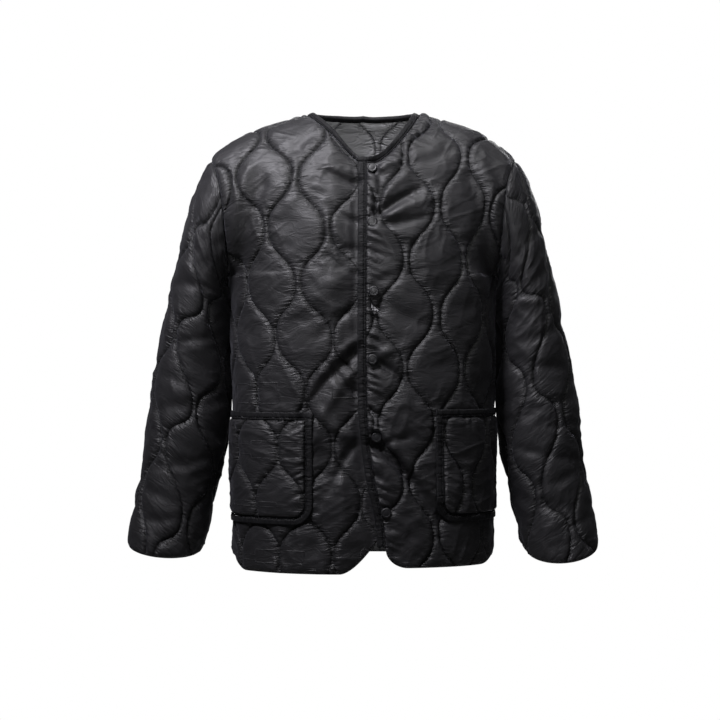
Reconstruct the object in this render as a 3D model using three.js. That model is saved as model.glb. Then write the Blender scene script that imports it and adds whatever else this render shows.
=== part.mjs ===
// A collarless quilted liner jacket, worn and hollow: two lapped fronts, a back, two sleeves, bound edges,
// two patch pockets and six snap caps. Millimetres. The wearer looks along -Y, +Z is up, +X is the wearer's left.
// The origin lies between the two shoulder points of the neck, where the wearer's shoulders carry the jacket.
import * as THREE from "three";

// Driving dimensions.
const CLOTH = 5; // shell, batting and lining, quilted together
const SEAM_GAP = 0.48; // between two pieces that are sewn edge to edge
const BODY_LENGTH = 690; // shoulder line to hem
const CHEST_HEIGHT = -250; // height of the underarm points
const CHEST_FRONT = 138; // depth of the chest in front of the shoulder line
const CHEST_BACK = 128; // depth of the back behind the shoulder line
const CHEST_SQUARENESS = 2.3; // exponent of the body's superellipse rings, 2 is an ellipse
const UNDERARM_WIDTH = 201; // half width at the underarm
const SHOULDER_WIDTH = 231; // half width at the shoulder tip
const SHOULDER_TIP_HEIGHT = -79;
const ARMHOLE_DEPTH = 80; // half the front to back size of the armhole
const NECK_WIDTH = 76; // half width of the finished neck
const NECK_FRONT_ROW = 0.442; // how far up the shoulder curve the front neck starts
const NECK_BACK_ROW = 0.754; // the same at the centre of the back neck
const BINDING = 9.4; // height of the neck binding
const EDGE_BINDING = 11.6; // width of the front edge binding
const POCKET_BINDING = 10.5;
const BINDING_PROUD = 0.6; // how far a binding stands past the cloth on each side
const LINING_CLOTH = 1;
const LINING_GAP = 0.5;
const UNDERLAP = 24; // how far the right front runs under the left one
const UNDERLAP_DROP = 6.8; // how far inwards it lies there
const HEM_SIDE_LIFT = 26; // how much higher the hem hangs at the side seams
const HEM_SIDE_SPAN = 75;
const HEM_BACK_LIFT = 12; // how much higher the hem hangs behind than in front
const HEM_CORNER = 34; // radius of the left front's rounded bottom corner
const UNDERLAP_CORNER = 78; // width of the right front's cut away bottom corner
const UNDERLAP_CORNER_RISE = 85;
const UNDERLAP_CORNER_CURVE = 1.6;
const BINDING_TURN = 0.12; // how far the front edge binding turns in at the hem, as a share of the corner
const FRONT_NECK_RUN = 356; // cloth per unit of row where the front neck's corner lies
const BACK_NECK_RUN = 245; // the same at the middle of the back neck
const SNAP_RADIUS = 7.5;
const SNAP_HEIGHT = 3.2;

// Grids: rows up the body, then up the shoulder; columns across each piece.
const SKIRT_ROWS = 10;
const YOKE_ROWS = 10;
const NECK_ROW = SKIRT_ROWS + 4; // the row that meets the corner of the front neck
const HEM_ROWS = 3; // rows that follow the shape of the hem
const FRONT_COLUMNS = 12;
const BACK_NECK_COLUMNS = 3;
const BACK_SIDE_COLUMNS = 7;

// Half width and depths of the body by height.
const bodySections = [
  { height: -700, width: 195, front: 134, back: 131 },
  { height: -640, width: 195, front: 135, back: 128 },
  { height: -550, width: 195, front: 136, back: 122 },
  { height: -450, width: 196, front: 138, back: 118 },
  { height: -350, width: 198, front: 140, back: 121 },
  { height: -290, width: 199, front: 139, back: 125 },
  { height: -250, width: 201, front: 138, back: 128 },
];

// Height of the shoulder line by distance from the centre.
const shoulderLine = [
  { across: 0, height: 22 },
  { across: 40, height: 15 },
  { across: 76, height: 0 },
  { across: 115, height: -12 },
  { across: 160, height: -27 },
  { across: 195, height: -45 },
  { across: 215, height: -59 },
  { across: 231, height: -74 },
];

// Distance of the left front's edge from the centre by height: it swings to the wearer's left near the hem.
const frontEdge = [
  { height: -700, across: 20 },
  { height: -650, across: 18 },
  { height: -600, across: 12 },
  { height: -520, across: -1 },
  { height: -440, across: -8 },
  { height: -60, across: -8 },
];

// Inner (body side) and outer points of the sleeve, its half depth and how far it stands behind the shoulder line.
const sleeveSections = [
  { innerX: 204, innerZ: -257, outerX: 249, outerZ: -108, depth: 80, behind: 2 },
  { innerX: 206, innerZ: -265, outerX: 263, outerZ: -150, depth: 80, behind: 4 },
  { innerX: 207, innerZ: -276, outerX: 275, outerZ: -200, depth: 79, behind: 6 },
  { innerX: 207, innerZ: -292, outerX: 287, outerZ: -250, depth: 78, behind: 8 },
  { innerX: 206.5, innerZ: -318, outerX: 297, outerZ: -298, depth: 77, behind: 9 },
  { innerX: 206, innerZ: -358, outerX: 306, outerZ: -342, depth: 75, behind: 9 },
  { innerX: 205, innerZ: -408, outerX: 316, outerZ: -390, depth: 72, behind: 8 },
  { innerX: 205, innerZ: -457, outerX: 323, outerZ: -438, depth: 69, behind: 6 },
  { innerX: 209, innerZ: -502, outerX: 328, outerZ: -485, depth: 66, behind: 3 },
  { innerX: 218, innerZ: -547, outerX: 334, outerZ: -533, depth: 63, behind: 0 },
  { innerX: 228, innerZ: -592, outerX: 342, outerZ: -579, depth: 60, behind: -4 },
  { innerX: 237, innerZ: -634, outerX: 350, outerZ: -620, depth: 57, behind: -9 },
  { innerX: 245, innerZ: -662, outerX: 356, outerZ: -652, depth: 55, behind: -13 },
];
const cuffDip = { left: 20, right: 12 }; // how much lower the cuffs hang in front
const CUFF_START = 8; // the ring from which the sleeve turns into its cuff

// The largest folds of the body: a line from one place to another, negative depths are troughs.
const bodyFolds = [
  { face: "front", fromX: 44, fromZ: -150, toX: 98, toZ: -104, depth: -6, width: 20 },
  { face: "front", fromX: 50, fromZ: -180, toX: 120, toZ: -132, depth: 5, width: 20 },
  { face: "front", fromX: 46, fromZ: -296, toX: 100, toZ: -330, depth: -5, width: 18 },
  { face: "front", fromX: 52, fromZ: -510, toX: 110, toZ: -600, depth: -6, width: 22 },
  { face: "front", fromX: -16, fromZ: -370, toX: -88, toZ: -462, depth: -6, width: 20 },
  { face: "front", fromX: -30, fromZ: -250, toX: -110, toZ: -300, depth: 4, width: 22 },
  { face: "front", fromX: -150, fromZ: -120, toX: -182, toZ: -260, depth: -6, width: 20 },
  { face: "front", fromX: 158, fromZ: -110, toX: 184, toZ: -240, depth: -6, width: 20 },
  { face: "back", fromX: -170, fromZ: -140, toX: -120, toZ: -330, depth: -6, width: 24 },
  { face: "back", fromX: 172, fromZ: -150, toX: 130, toZ: -320, depth: -6, width: 24 },
  { face: "back", fromX: -60, fromZ: -470, toX: 70, toZ: -440, depth: -5, width: 26 },
];

// Centres of the snap caps, and how far each stands over the smooth cloth.
const snaps = [
  { across: 12.5, height: -93, lift: 0.6 },
  { across: 12.5, height: -173, lift: 0 },
  { across: 15, height: -275, lift: 0.6 },
  { across: 13, height: -374, lift: 0.6 },
  { across: 19, height: -487, lift: 0.6 },
  { across: 33, height: -597, lift: 0.6 },
];

// Each pocket: distance of its inner side from the centre, and the heights of its mouth and bottom.
const pockets = [
  { name: "left", side: 1, inner: 105, top: -447, bottom: -612 },
  { name: "right", side: -1, inner: 73, top: -451, bottom: -616 },
];
const POCKET_CORNER = 30; // radius of the inner bottom corner
const POCKET_LIFT = 1.4; // clear distance over the front, which is faceted
const POCKET_CLOTH = 4;
const POCKET_COLUMNS = 9;
const POCKET_ROWS = 7;

const FABRIC = { color: 0x26262b, roughness: 0.5, metalness: 0 };
const LINING = { color: 0x6b6b70, roughness: 0.6, metalness: 0 };
const BIAS = { color: 0x1a1a1d, roughness: 0.7, metalness: 0 };
const SNAP = { color: 0x1c1c1f, roughness: 0.35, metalness: 0 };

const clamp = (value, low, high) => Math.min(high, Math.max(low, value));
const mix = (a, b, share) => a + (b - a) * share;
const smooth = (value) => {
  const t = clamp(value, 0, 1);
  return t * t * (3 - 2 * t);
};
const vector = (x, y, z) => new THREE.Vector3(x, y, z);

// Reads a column of a table by its key column, along a smooth curve through the rows.
function read(table, key, column, at) {
  const last = table.length - 1;
  const place = clamp(at, table[0][key], table[last][key]);
  let row = 0;
  while (row < last - 1 && place > table[row + 1][key]) row += 1;
  const slope = (i) => {
    const a = table[Math.max(0, i - 1)];
    const b = table[Math.min(last, i + 1)];
    return (b[column] - a[column]) / (b[key] - a[key]);
  };
  const span = table[row + 1][key] - table[row][key];
  const t = (place - table[row][key]) / span;
  const start = table[row][column];
  const end = table[row + 1][column];
  const bend = t * (1 - t) * span;
  return mix(start, end, t * t * (3 - 2 * t)) + bend * ((1 - t) * slope(row) - t * slope(row + 1));
}

// Half width of the body at the armhole seam, by its share of the way up from underarm to shoulder tip.
function armholeWidth(share) {
  const flare = SHOULDER_WIDTH - UNDERARM_WIDTH;
  return UNDERARM_WIDTH + flare * (0.4 * share + 0.6 * share ** 4);
}

// A point of the body's outer face without folds. row runs from -1 (hem) through 0 (chest) to 1 (shoulder line);
// turn runs from 0 (centre) to 1 (side seam or armhole); face is -1 in front and 1 behind.
function ringPoint(face, row, turn) {
  const angle = (turn * Math.PI) / 2;
  const share = Math.sin(angle) ** (2 / CHEST_SQUARENESS);
  const bow = (part) => (1 - part ** CHEST_SQUARENESS) ** (1 / CHEST_SQUARENESS);
  if (row <= 0) {
    const height = CHEST_HEIGHT + row * (BODY_LENGTH + CHEST_HEIGHT);
    const width = read(bodySections, "height", "width", height);
    const depth = read(bodySections, "height", face < 0 ? "front" : "back", height);
    return vector(width * share, face * depth * Math.cos(angle) ** (2 / CHEST_SQUARENESS), height);
  }
  const lift = (row * Math.PI) / 2;
  const across = armholeWidth(Math.sin(lift) ** 2) * share;
  const centreDepth = (face < 0 ? CHEST_FRONT : CHEST_BACK) * Math.cos(lift);
  const sideDepth = ARMHOLE_DEPTH * Math.sin(2 * lift);
  const cut = 1 - 0.22 * smooth(row / 0.4);
  const curve = (bow(share * cut) - bow(cut)) / (1 - bow(cut));
  const rise = Math.sin(lift) * mix(1, Math.sin(lift), share ** 3);
  const top = read(shoulderLine, "across", "height", across);
  return vector(
    across,
    face * (sideDepth + (centreDepth - sideDepth) * curve),
    mix(CHEST_HEIGHT, top, rise),
  );
}

// Points along each row, kept with their distance from the centre, so that columns can be spaced along the cloth.
const rowCache = new Map();
function rowLine(face, row) {
  const key = face + ":" + row.toFixed(6);
  if (rowCache.has(key)) return rowCache.get(key);
  const steps = 90;
  const line = [{ turn: 0, along: 0 }];
  let before = ringPoint(face, row, 0);
  for (let i = 1; i <= steps; i += 1) {
    const point = ringPoint(face, row, i / steps);
    line.push({ turn: i / steps, along: line[i - 1].along + point.distanceTo(before) });
    before = point;
  }
  rowCache.set(key, line);
  return line;
}
const rowLength = (face, row) => rowLine(face, row).at(-1).along;

// A point of the smooth body at a distance along a row; distances below 0 lie past the centre.
function plainBody(face, side, row, along) {
  const line = rowLine(face, row);
  const wanted = clamp(Math.abs(along), 0, line.at(-1).along);
  let i = 1;
  while (i < line.length - 1 && line[i].along < wanted) i += 1;
  const a = line[i - 1];
  const b = line[i];
  const turn = mix(a.turn, b.turn, (wanted - a.along) / (b.along - a.along));
  const point = ringPoint(face, row, turn);
  point.x *= side * (along < 0 ? -1 : 1);
  return point;
}

// Outward direction of the smooth body. On the side seam and the shoulder line it has no front to back part.
function bodyNormal(face, side, row, along) {
  const step = 0.5;
  const reach = rowLength(face, row);
  const place = clamp(along, -reach + step, reach - step);
  const here = plainBody(face, side, row, clamp(along, -reach, reach));
  const across = plainBody(face, side, row, place + step).sub(plainBody(face, side, row, place - step));
  const high = Math.min(row + 0.004, 1);
  const low = high - 0.008;
  const share = clamp(along / reach, -1, 1);
  const up = plainBody(face, side, high, share * rowLength(face, high));
  up.sub(plainBody(face, side, low, share * rowLength(face, low)));
  const normal = across.cross(up).multiplyScalar(-side * face);
  if (Math.abs(here.y) < 0.01) normal.y = 0;
  return normal.normalize();
}

// Height of the largest folds over the smooth body.
function foldHeight(face, point) {
  let height = 0;
  for (const fold of bodyFolds) {
    if ((fold.face === "front") !== face < 0) continue;
    const runX = fold.toX - fold.fromX;
    const runZ = fold.toZ - fold.fromZ;
    const share = ((point.x - fold.fromX) * runX + (point.z - fold.fromZ) * runZ) / (runX ** 2 + runZ ** 2);
    const held = clamp(share, 0, 1);
    const away = Math.hypot(point.x - fold.fromX - held * runX, point.z - fold.fromZ - held * runZ);
    height += fold.depth * Math.exp(-((away / fold.width) ** 2)) * (1 - 0.5 * held);
  }
  return height;
}

// How far the cloth lies inside the body's outline: the right front drops under the left one.
function underlapDrop(face, side, point) {
  if (face > 0 || side > 0) return 0;
  const edge = read(frontEdge, "height", "across", point.z);
  return UNDERLAP_DROP * smooth((point.x - edge + 40) / 32);
}

// A point of the cloth, moved out by lift from its outer face.
function body(face, side, row, along, lift) {
  const point = plainBody(face, side, row, along);
  const normal = bodyNormal(face, side, row, along);
  const sink = underlapDrop(face, side, point);
  point.addScaledVector(normal, foldHeight(face, point) * seamFade(face, row, along) - sink + lift);
  point.y += (face * SEAM_GAP) / 2;
  return point;
}

// Folds die out towards the seams, so that neighbouring pieces meet.
function seamFade(face, row, along) {
  const reach = rowLength(face, row);
  const fromSide = smooth((reach - Math.abs(along)) / 35);
  const fromTop = smooth((1 - row) / 0.2);
  return fromSide * fromTop;
}

// Closes a grid of outer points and a grid of inner points into one wall. Grids are lists of rows.
function wall(name, finish, outer, inner, tube = false) {
  const rows = outer.length;
  const columns = outer[0].length;
  const points = [...outer.flat(), ...inner.flat()];
  const index = [];
  const at = (layer, i, j) => layer * rows * columns + i * columns + (j % columns);
  const quad = (a, b, c, d) => index.push(a, b, c, a, c, d);
  const spans = tube ? columns : columns - 1;
  for (let i = 0; i < rows - 1; i += 1) {
    for (let j = 0; j < spans; j += 1) {
      quad(at(0, i, j), at(0, i, j + 1), at(0, i + 1, j + 1), at(0, i + 1, j));
      quad(at(1, i, j), at(1, i + 1, j), at(1, i + 1, j + 1), at(1, i, j + 1));
    }
  }
  for (let j = 0; j < spans; j += 1) {
    quad(at(0, 0, j), at(1, 0, j), at(1, 0, j + 1), at(0, 0, j + 1));
    const end = rows - 1;
    quad(at(0, end, j), at(0, end, j + 1), at(1, end, j + 1), at(1, end, j));
  }
  if (!tube) {
    for (let i = 0; i < rows - 1; i += 1) {
      quad(at(0, i, 0), at(0, i + 1, 0), at(1, i + 1, 0), at(1, i, 0));
      const end = columns - 1;
      quad(at(0, i, end), at(1, i, end), at(1, i + 1, end), at(0, i + 1, end));
    }
  }
  let volume = 0;
  for (let i = 0; i < index.length; i += 3) {
    const [a, b, c] = [points[index[i]], points[index[i + 1]], points[index[i + 2]]];
    volume += a.dot(b.clone().cross(c));
  }
  if (volume < 0) index.reverse();
  const geometry = new THREE.BufferGeometry().setFromPoints(points);
  geometry.setIndex(index);
  geometry.computeVertexNormals();
  const mesh = new THREE.Mesh(geometry, new THREE.MeshStandardMaterial({ ...finish }));
  mesh.name = name;
  return mesh;
}

// Row numbers of the yoke at the centre: stretched so that one row starts at the corner of the front neck.
function frontRow(number, corner, share) {
  const plain = (number - SKIRT_ROWS) / YOKE_ROWS;
  if (plain <= 0) return plain * (YOKE_ROWS / SKIRT_ROWS);
  const split = (NECK_ROW - SKIRT_ROWS) / YOKE_ROWS;
  const centre = plain < split ? (plain * corner) / split : 1 - ((1 - plain) * (1 - corner)) / (1 - split);
  return mix(centre, plain, Math.sqrt(share));
}

// The front neck: distance from the centre by row, for the finished edge (inset 0) or the edge of the panel.
function frontNeck(side, number, inset) {
  const corner = NECK_FRONT_ROW - inset / FRONT_NECK_RUN;
  const climb = (number - NECK_ROW) / (SKIRT_ROWS + YOKE_ROWS - NECK_ROW);
  const roundness = side > 0 ? 0.45 : 0.75;
  const across = (NECK_WIDTH + inset) * Math.sin((clamp(climb, 0, 1) * Math.PI) / 2) ** roundness;
  return { across, row: frontRow(number, corner, 0) };
}

// Distance along a row at which the body is this far from the centre.
function alongAt(face, row, across) {
  const line = rowLine(face, row);
  let i = 1;
  while (i < line.length - 1 && ringPoint(face, row, line[i].turn).x < Math.abs(across)) i += 1;
  const near = ringPoint(face, row, line[i - 1].turn).x;
  const far = ringPoint(face, row, line[i].turn).x;
  const share = clamp((Math.abs(across) - near) / (far - near), 0, 1);
  return Math.sign(across) * mix(line[i - 1].along, line[i].along, share);
}

// Where the edge of a front panel starts on a row below the neck, measured towards its own side.
function frontStart(side, height) {
  const edge = read(frontEdge, "height", "across", height);
  return side > 0 ? edge + EDGE_BINDING + SEAM_GAP : -(edge + UNDERLAP);
}

// Bottom of a front at a distance from its corner at the centre and from the side seam.
function hemLift(side, fromEdge, fromSide) {
  let middle;
  if (side > 0) {
    const turned = clamp(HEM_CORNER - fromEdge, 0, HEM_CORNER);
    middle = 12 + 0.9 * (HEM_CORNER - Math.sqrt(HEM_CORNER ** 2 - turned ** 2));
  } else {
    const turned = clamp(1 - fromEdge / UNDERLAP_CORNER, 0, 1);
    middle = 3 + UNDERLAP_CORNER_RISE * turned ** UNDERLAP_CORNER_CURVE;
  }
  return mix(middle, HEM_SIDE_LIFT, smooth((HEM_SIDE_SPAN - fromSide) / HEM_SIDE_SPAN));
}

// Places of a front panel's points.
function frontGrid(side) {
  const panel = [];
  const corner = NECK_FRONT_ROW - BINDING / FRONT_NECK_RUN;
  for (let number = 0; number <= SKIRT_ROWS + YOKE_ROWS; number += 1) {
    const line = [];
    const neck = number >= NECK_ROW ? frontNeck(side, number, BINDING) : null;
    for (let j = 0; j <= FRONT_COLUMNS; j += 1) {
      const share = j / FRONT_COLUMNS;
      let row = frontRow(number, corner, share);
      const height = CHEST_HEIGHT + Math.min(row, 0) * (BODY_LENGTH + CHEST_HEIGHT);
      let start = frontStart(side, row > 0 ? ringPoint(-1, row, 0).z : height);
      if (number > NECK_ROW) start = alongAt(-1, row, neck.across);
      const reach = rowLength(-1, row);
      const along = mix(start, reach, share);
      if (number < HEM_ROWS) {
        const skirt = BODY_LENGTH + CHEST_HEIGHT;
        const bottom = -1 + hemLift(side, along - start, reach - along) / skirt;
        row = mix(bottom, -1 + HEM_ROWS / SKIRT_ROWS, number / HEM_ROWS);
      }
      line.push({ face: -1, side, row, along });
    }
    panel.push(line);
  }
  return panel;
}

// The back: its upper rows sink to the back neck between the shoulder seams.
function backTop(share, lowest) {
  return 1 - (1 - lowest) * (1 - Math.abs(share) ** 2.2) ** 0.6;
}
function backGrid() {
  const panel = [];
  const neckShare = alongAt(1, 1, NECK_WIDTH + BINDING) / rowLength(1, 1);
  const total = BACK_NECK_COLUMNS + BACK_SIDE_COLUMNS;
  const bent = SKIRT_ROWS + YOKE_ROWS - 4;
  for (let number = 0; number <= SKIRT_ROWS + YOKE_ROWS; number += 1) {
    const line = [];
    for (let j = -total; j <= total; j += 1) {
      const inNeck = Math.abs(j) <= BACK_NECK_COLUMNS;
      const beyond = (Math.abs(j) - BACK_NECK_COLUMNS) / BACK_SIDE_COLUMNS;
      const share = inNeck ? (neckShare * j) / BACK_NECK_COLUMNS : Math.sign(j) * mix(neckShare, 1, beyond);
      let row = (number - SKIRT_ROWS) / (number < SKIRT_ROWS ? SKIRT_ROWS : YOKE_ROWS);
      if (inNeck && number > bent) {
        const top = backTop(j / BACK_NECK_COLUMNS, NECK_BACK_ROW - BINDING / BACK_NECK_RUN);
        row = mix((bent - SKIRT_ROWS) / YOKE_ROWS, top, (number - bent) / 4);
      }
      if (number < HEM_ROWS) {
        const toSide = smooth((Math.abs(share) - 0.6) / 0.4);
        const lifted = mix(HEM_BACK_LIFT, HEM_SIDE_LIFT, toSide) / (BODY_LENGTH + CHEST_HEIGHT);
        row += lifted * (1 - number / HEM_ROWS);
      }
      line.push({ face: 1, side: j < 0 ? -1 : 1, row, along: Math.abs(share) * rowLength(1, row) });
    }
    panel.push(line);
  }
  return panel;
}

// Armhole points from the underarm up the front to the shoulder tip and down the back.
function armholePlace(side, step) {
  const face = step <= YOKE_ROWS ? -1 : 1;
  const row = (step <= YOKE_ROWS ? step : 2 * YOKE_ROWS - step) / YOKE_ROWS;
  return { face, side, row, along: rowLength(face, row) };
}

// Sleeve rings before the seam is matched; ring 0 is the armhole.
function sleevePoint(side, ring, step) {
  const angle = (step * Math.PI) / YOKE_ROWS;
  if (ring === 0) {
    const place = armholePlace(side, step);
    return plainBody(place.face, side, place.row, place.along);
  }
  const at = sleeveSections[ring - 1];
  const outward = (1 - Math.cos(angle)) / 2;
  const cuff = smooth((ring - CUFF_START) / (sleeveSections.length - CUFF_START));
  const dip = (side > 0 ? cuffDip.left : cuffDip.right) * cuff;
  return vector(
    side * mix(at.innerX, at.outerX, outward),
    at.behind - at.depth * Math.sin(angle),
    mix(at.innerZ, at.outerZ, outward) - dip * Math.sin(angle),
  );
}

function sleeveNormal(side, ring, step) {
  const last = sleeveSections.length;
  const around = 2 * YOKE_ROWS;
  const next = sleevePoint(side, ring, (step + 1) % around);
  const previous = sleevePoint(side, ring, (step + around - 1) % around);
  const down = sleevePoint(side, Math.min(last, ring + 1), step);
  down.sub(sleevePoint(side, Math.max(0, ring - 1), step));
  return next.sub(previous).cross(down).multiplyScalar(-side).normalize();
}

// The direction in which a piece is thick at the armhole. Where the two pieces bulge it is shared.
function armholeNormals(side, step) {
  const place = armholePlace(side, step);
  const ofBody = bodyNormal(place.face, side, place.row, place.along);
  const ofSleeve = sleeveNormal(side, 0, step);
  const sharing = smooth((ofBody.dot(ofSleeve) + 0.2) / 0.8);
  return {
    body: ofBody.clone().addScaledVector(ofSleeve, sharing).normalize(),
    sleeve: ofSleeve.clone().addScaledVector(ofBody, sharing).normalize(),
  };
}

// Outer and inner points of a panel from its places. Its armhole edge takes the shared direction.
function panelWall(name, places) {
  const outer = places.map((line) => line.map((p) => body(p.face, p.side, p.row, p.along, 0)));
  const inner = places.map((line, number) =>
    line.map((p, j) => {
      const atEdge = Math.abs(p.along - rowLength(p.face, p.row)) < 0.001;
      if (!atEdge || number < SKIRT_ROWS) return body(p.face, p.side, p.row, p.along, -CLOTH);
      const step = p.face < 0 ? number - SKIRT_ROWS : 2 * YOKE_ROWS - (number - SKIRT_ROWS);
      const normal = armholeNormals(p.side, step).body;
      return outer[number][j].clone().addScaledVector(normal, -CLOTH);
    }),
  );
  return wall(name, FABRIC, outer, inner);
}

function sleeve(name, side) {
  const outer = [];
  const inner = [];
  for (let ring = 0; ring <= sleeveSections.length; ring += 1) {
    const outerRing = [];
    const innerRing = [];
    for (let step = 0; step < 2 * YOKE_ROWS; step += 1) {
      const point = sleevePoint(side, ring, step);
      let normal = sleeveNormal(side, ring, step);
      if (ring === 0) {
        normal = armholeNormals(side, step).sleeve;
        const next = sleevePoint(side, 1, step).sub(point).normalize();
        point.addScaledVector(next, SEAM_GAP + 0.2);
        point.x += side * SEAM_GAP * 0.5;
      }
      outerRing.push(point);
      innerRing.push(point.clone().addScaledVector(normal, -CLOTH));
    }
    outer.push(outerRing);
    inner.push(innerRing);
  }
  return wall(name, FABRIC, outer, inner, true);
}

// A binding is a strip between two lines of places, thicker than the cloth that it holds.
function strip(name, lines, lift, thickness) {
  const outer = lines.map((line) => line.map((p) => body(p.face, p.side, p.row, p.along, lift)));
  const inner = lines.map((line) => line.map((p) => body(p.face, p.side, p.row, p.along, lift - thickness)));
  return wall(name, BIAS, outer, inner);
}

// Places across a binding: from its free edge to the cloth that it holds.
const acrossBinding = [0, 0.5, 1];

function neckBinding() {
  const top = SKIRT_ROWS + YOKE_ROWS;
  const rights = [];
  const lefts = [];
  const heldInset = BINDING - 1.5 * SEAM_GAP;
  const addFront = (list, side) => {
    const cornerZ = ringPoint(-1, NECK_FRONT_ROW, 0).z;
    const edge = read(frontEdge, "height", "across", cornerZ);
    const starts = side > 0 ? [edge, edge + EDGE_BINDING + SEAM_GAP] : [-(edge + UNDERLAP)];
    for (const start of starts) {
      list.push(
        acrossBinding.map((share) => {
          const neck = frontNeck(side, NECK_ROW, heldInset * share);
          return { face: -1, side, row: neck.row, along: start };
        }),
      );
    }
    for (let number = NECK_ROW + 1; number <= top; number += 1) {
      list.push(
        acrossBinding.map((share) => {
          const neck = frontNeck(side, number, heldInset * share);
          return { face: -1, side, row: neck.row, along: alongAt(-1, neck.row, neck.across) };
        }),
      );
    }
  };
  addFront(rights, -1);
  addFront(lefts, 1);
  const back = [];
  for (let j = -BACK_NECK_COLUMNS + 1; j < BACK_NECK_COLUMNS; j += 1) {
    back.push(
      acrossBinding.map((share) => {
        const inset = heldInset * share;
        const lowest = NECK_BACK_ROW - inset / BACK_NECK_RUN;
        const part = j / BACK_NECK_COLUMNS;
        const row = backTop(part, lowest);
        const neckShare = alongAt(1, 1, NECK_WIDTH + inset) / rowLength(1, 1);
        const side = j < 0 ? -1 : 1;
        return { face: 1, side, row, along: Math.abs(part) * neckShare * rowLength(1, row) };
      }),
    );
  }
  return strip("neck_binding", [...rights, ...back, ...lefts.reverse()], BINDING_PROUD, CLOTH + 2 * BINDING_PROUD);
}

function frontEdgeBinding() {
  const lines = frontGrid(1)
    .slice(0, NECK_ROW + 1)
    .map((line) => {
      const held = line[0];
      const end = held.along - SEAM_GAP;
      return acrossBinding.map((share) => {
        const inHem = held.row < -1 + 1 / SKIRT_ROWS;
        const lift = inHem ? (HEM_CORNER * BINDING_TURN * (1 - share)) / (BODY_LENGTH + CHEST_HEIGHT) : 0;
        return { ...held, row: held.row + lift, along: mix(end - EDGE_BINDING, end, share) };
      });
    });
  return strip("front_edge_binding", lines, BINDING_PROUD, CLOTH + 2 * BINDING_PROUD);
}

const rowAtHeight = (height) => (height - CHEST_HEIGHT) / (BODY_LENGTH + CHEST_HEIGHT);

// A place on the pocket: across runs from the inner side to the side seam, up from the bottom to the mouth.
// inset is the distance in from the finished outline; the inner bottom corner is an arc.
function pocketPlace(pocket, across, up, inset) {
  const bottom = pocket.bottom + inset;
  const top = pocket.top - inset;
  const radius = POCKET_CORNER - inset;
  const height = mix(bottom, top, up);
  const fromBottom = height - bottom;
  const rise = clamp(radius - fromBottom, 0, radius);
  const cut = radius - Math.sqrt(radius ** 2 - rise ** 2);
  const row = rowAtHeight(height);
  const inner = alongAt(-1, row, pocket.inner) + inset;
  const end = rowLength(-1, row) - 4;
  const along = mix(inner + cut, end, across);
  return { face: -1, side: pocket.side, row, along };
}

function pocketPanel(pocket) {
  const inset = POCKET_BINDING + 2 * SEAM_GAP;
  const places = [];
  for (let i = 0; i <= POCKET_ROWS; i += 1) {
    const up = (i / POCKET_ROWS) ** 1.3;
    const line = [];
    for (let j = 0; j <= POCKET_COLUMNS; j += 1) {
      line.push(pocketPlace(pocket, j / POCKET_COLUMNS, up, inset));
    }
    places.push(line);
  }
  const lifted = (lift) => places.map((line) => line.map((p) => body(p.face, p.side, p.row, p.along, lift)));
  return wall("pocket_" + pocket.name, FABRIC, lifted(POCKET_LIFT + POCKET_CLOTH), lifted(POCKET_LIFT));
}

function pocketBindings(pocket) {
  const lift = POCKET_LIFT + POCKET_CLOTH + 0.8;
  const thickness = POCKET_CLOTH + 0.4;
  const mouth = [];
  for (let j = 0; j <= POCKET_COLUMNS + 2; j += 1) {
    const part = j / (POCKET_COLUMNS + 2);
    mouth.push(
      [0, 1].map((share) => {
        const height = pocket.top - share * POCKET_BINDING;
        const row = rowAtHeight(height);
        const start = alongAt(-1, row, pocket.inner);
        return { face: -1, side: pocket.side, row, along: mix(start, rowLength(-1, row) - 4, part) };
      }),
    );
  }
  const sideLine = [];
  const top = pocket.top - POCKET_BINDING - SEAM_GAP;
  const arcSteps = 5;
  const outline = (inset) => {
    const radius = POCKET_CORNER - inset;
    const base = alongAt(-1, rowAtHeight(pocket.top), pocket.inner);
    const places = [];
    const add = (along, height) => places.push({ face: -1, side: pocket.side, row: rowAtHeight(height), along });
    for (let i = 0; i < 5; i += 1) add(base + inset, mix(top, pocket.bottom + POCKET_CORNER, i / 5));
    for (let i = 0; i <= arcSteps; i += 1) {
      const angle = (i / arcSteps) * (Math.PI / 2);
      const along = base + POCKET_CORNER - radius * Math.cos(angle);
      add(along, pocket.bottom + POCKET_CORNER - radius * Math.sin(angle));
    }
    const end = rowLength(-1, rowAtHeight(pocket.bottom)) - 4;
    for (let i = 1; i <= 8; i += 1) add(mix(base + POCKET_CORNER, end, i / 8), pocket.bottom + inset);
    return places;
  };
  const free = outline(0);
  const held = outline(POCKET_BINDING);
  for (let i = 0; i < free.length; i += 1) sideLine.push([free[i], held[i]]);
  return [
    strip("pocket_top_binding_" + pocket.name, mouth, lift, thickness),
    strip("pocket_side_binding_" + pocket.name, sideLine, lift, thickness),
  ];
}

// The lining shows inside the back of the neck: a thin skin on the inner face of the back, on the same points.
function backLining() {
  const middle = BACK_NECK_COLUMNS + BACK_SIDE_COLUMNS;
  const places = backGrid()
    .slice(SKIRT_ROWS + 3)
    .map((line) => line.slice(middle - BACK_NECK_COLUMNS, middle + BACK_NECK_COLUMNS + 1));
  const lifted = (lift) => places.map((line) => line.map((p) => body(p.face, p.side, p.row, p.along, lift)));
  return wall("back_lining", LINING, lifted(-CLOTH - LINING_GAP), lifted(-CLOTH - LINING_GAP - LINING_CLOTH));
}

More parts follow.
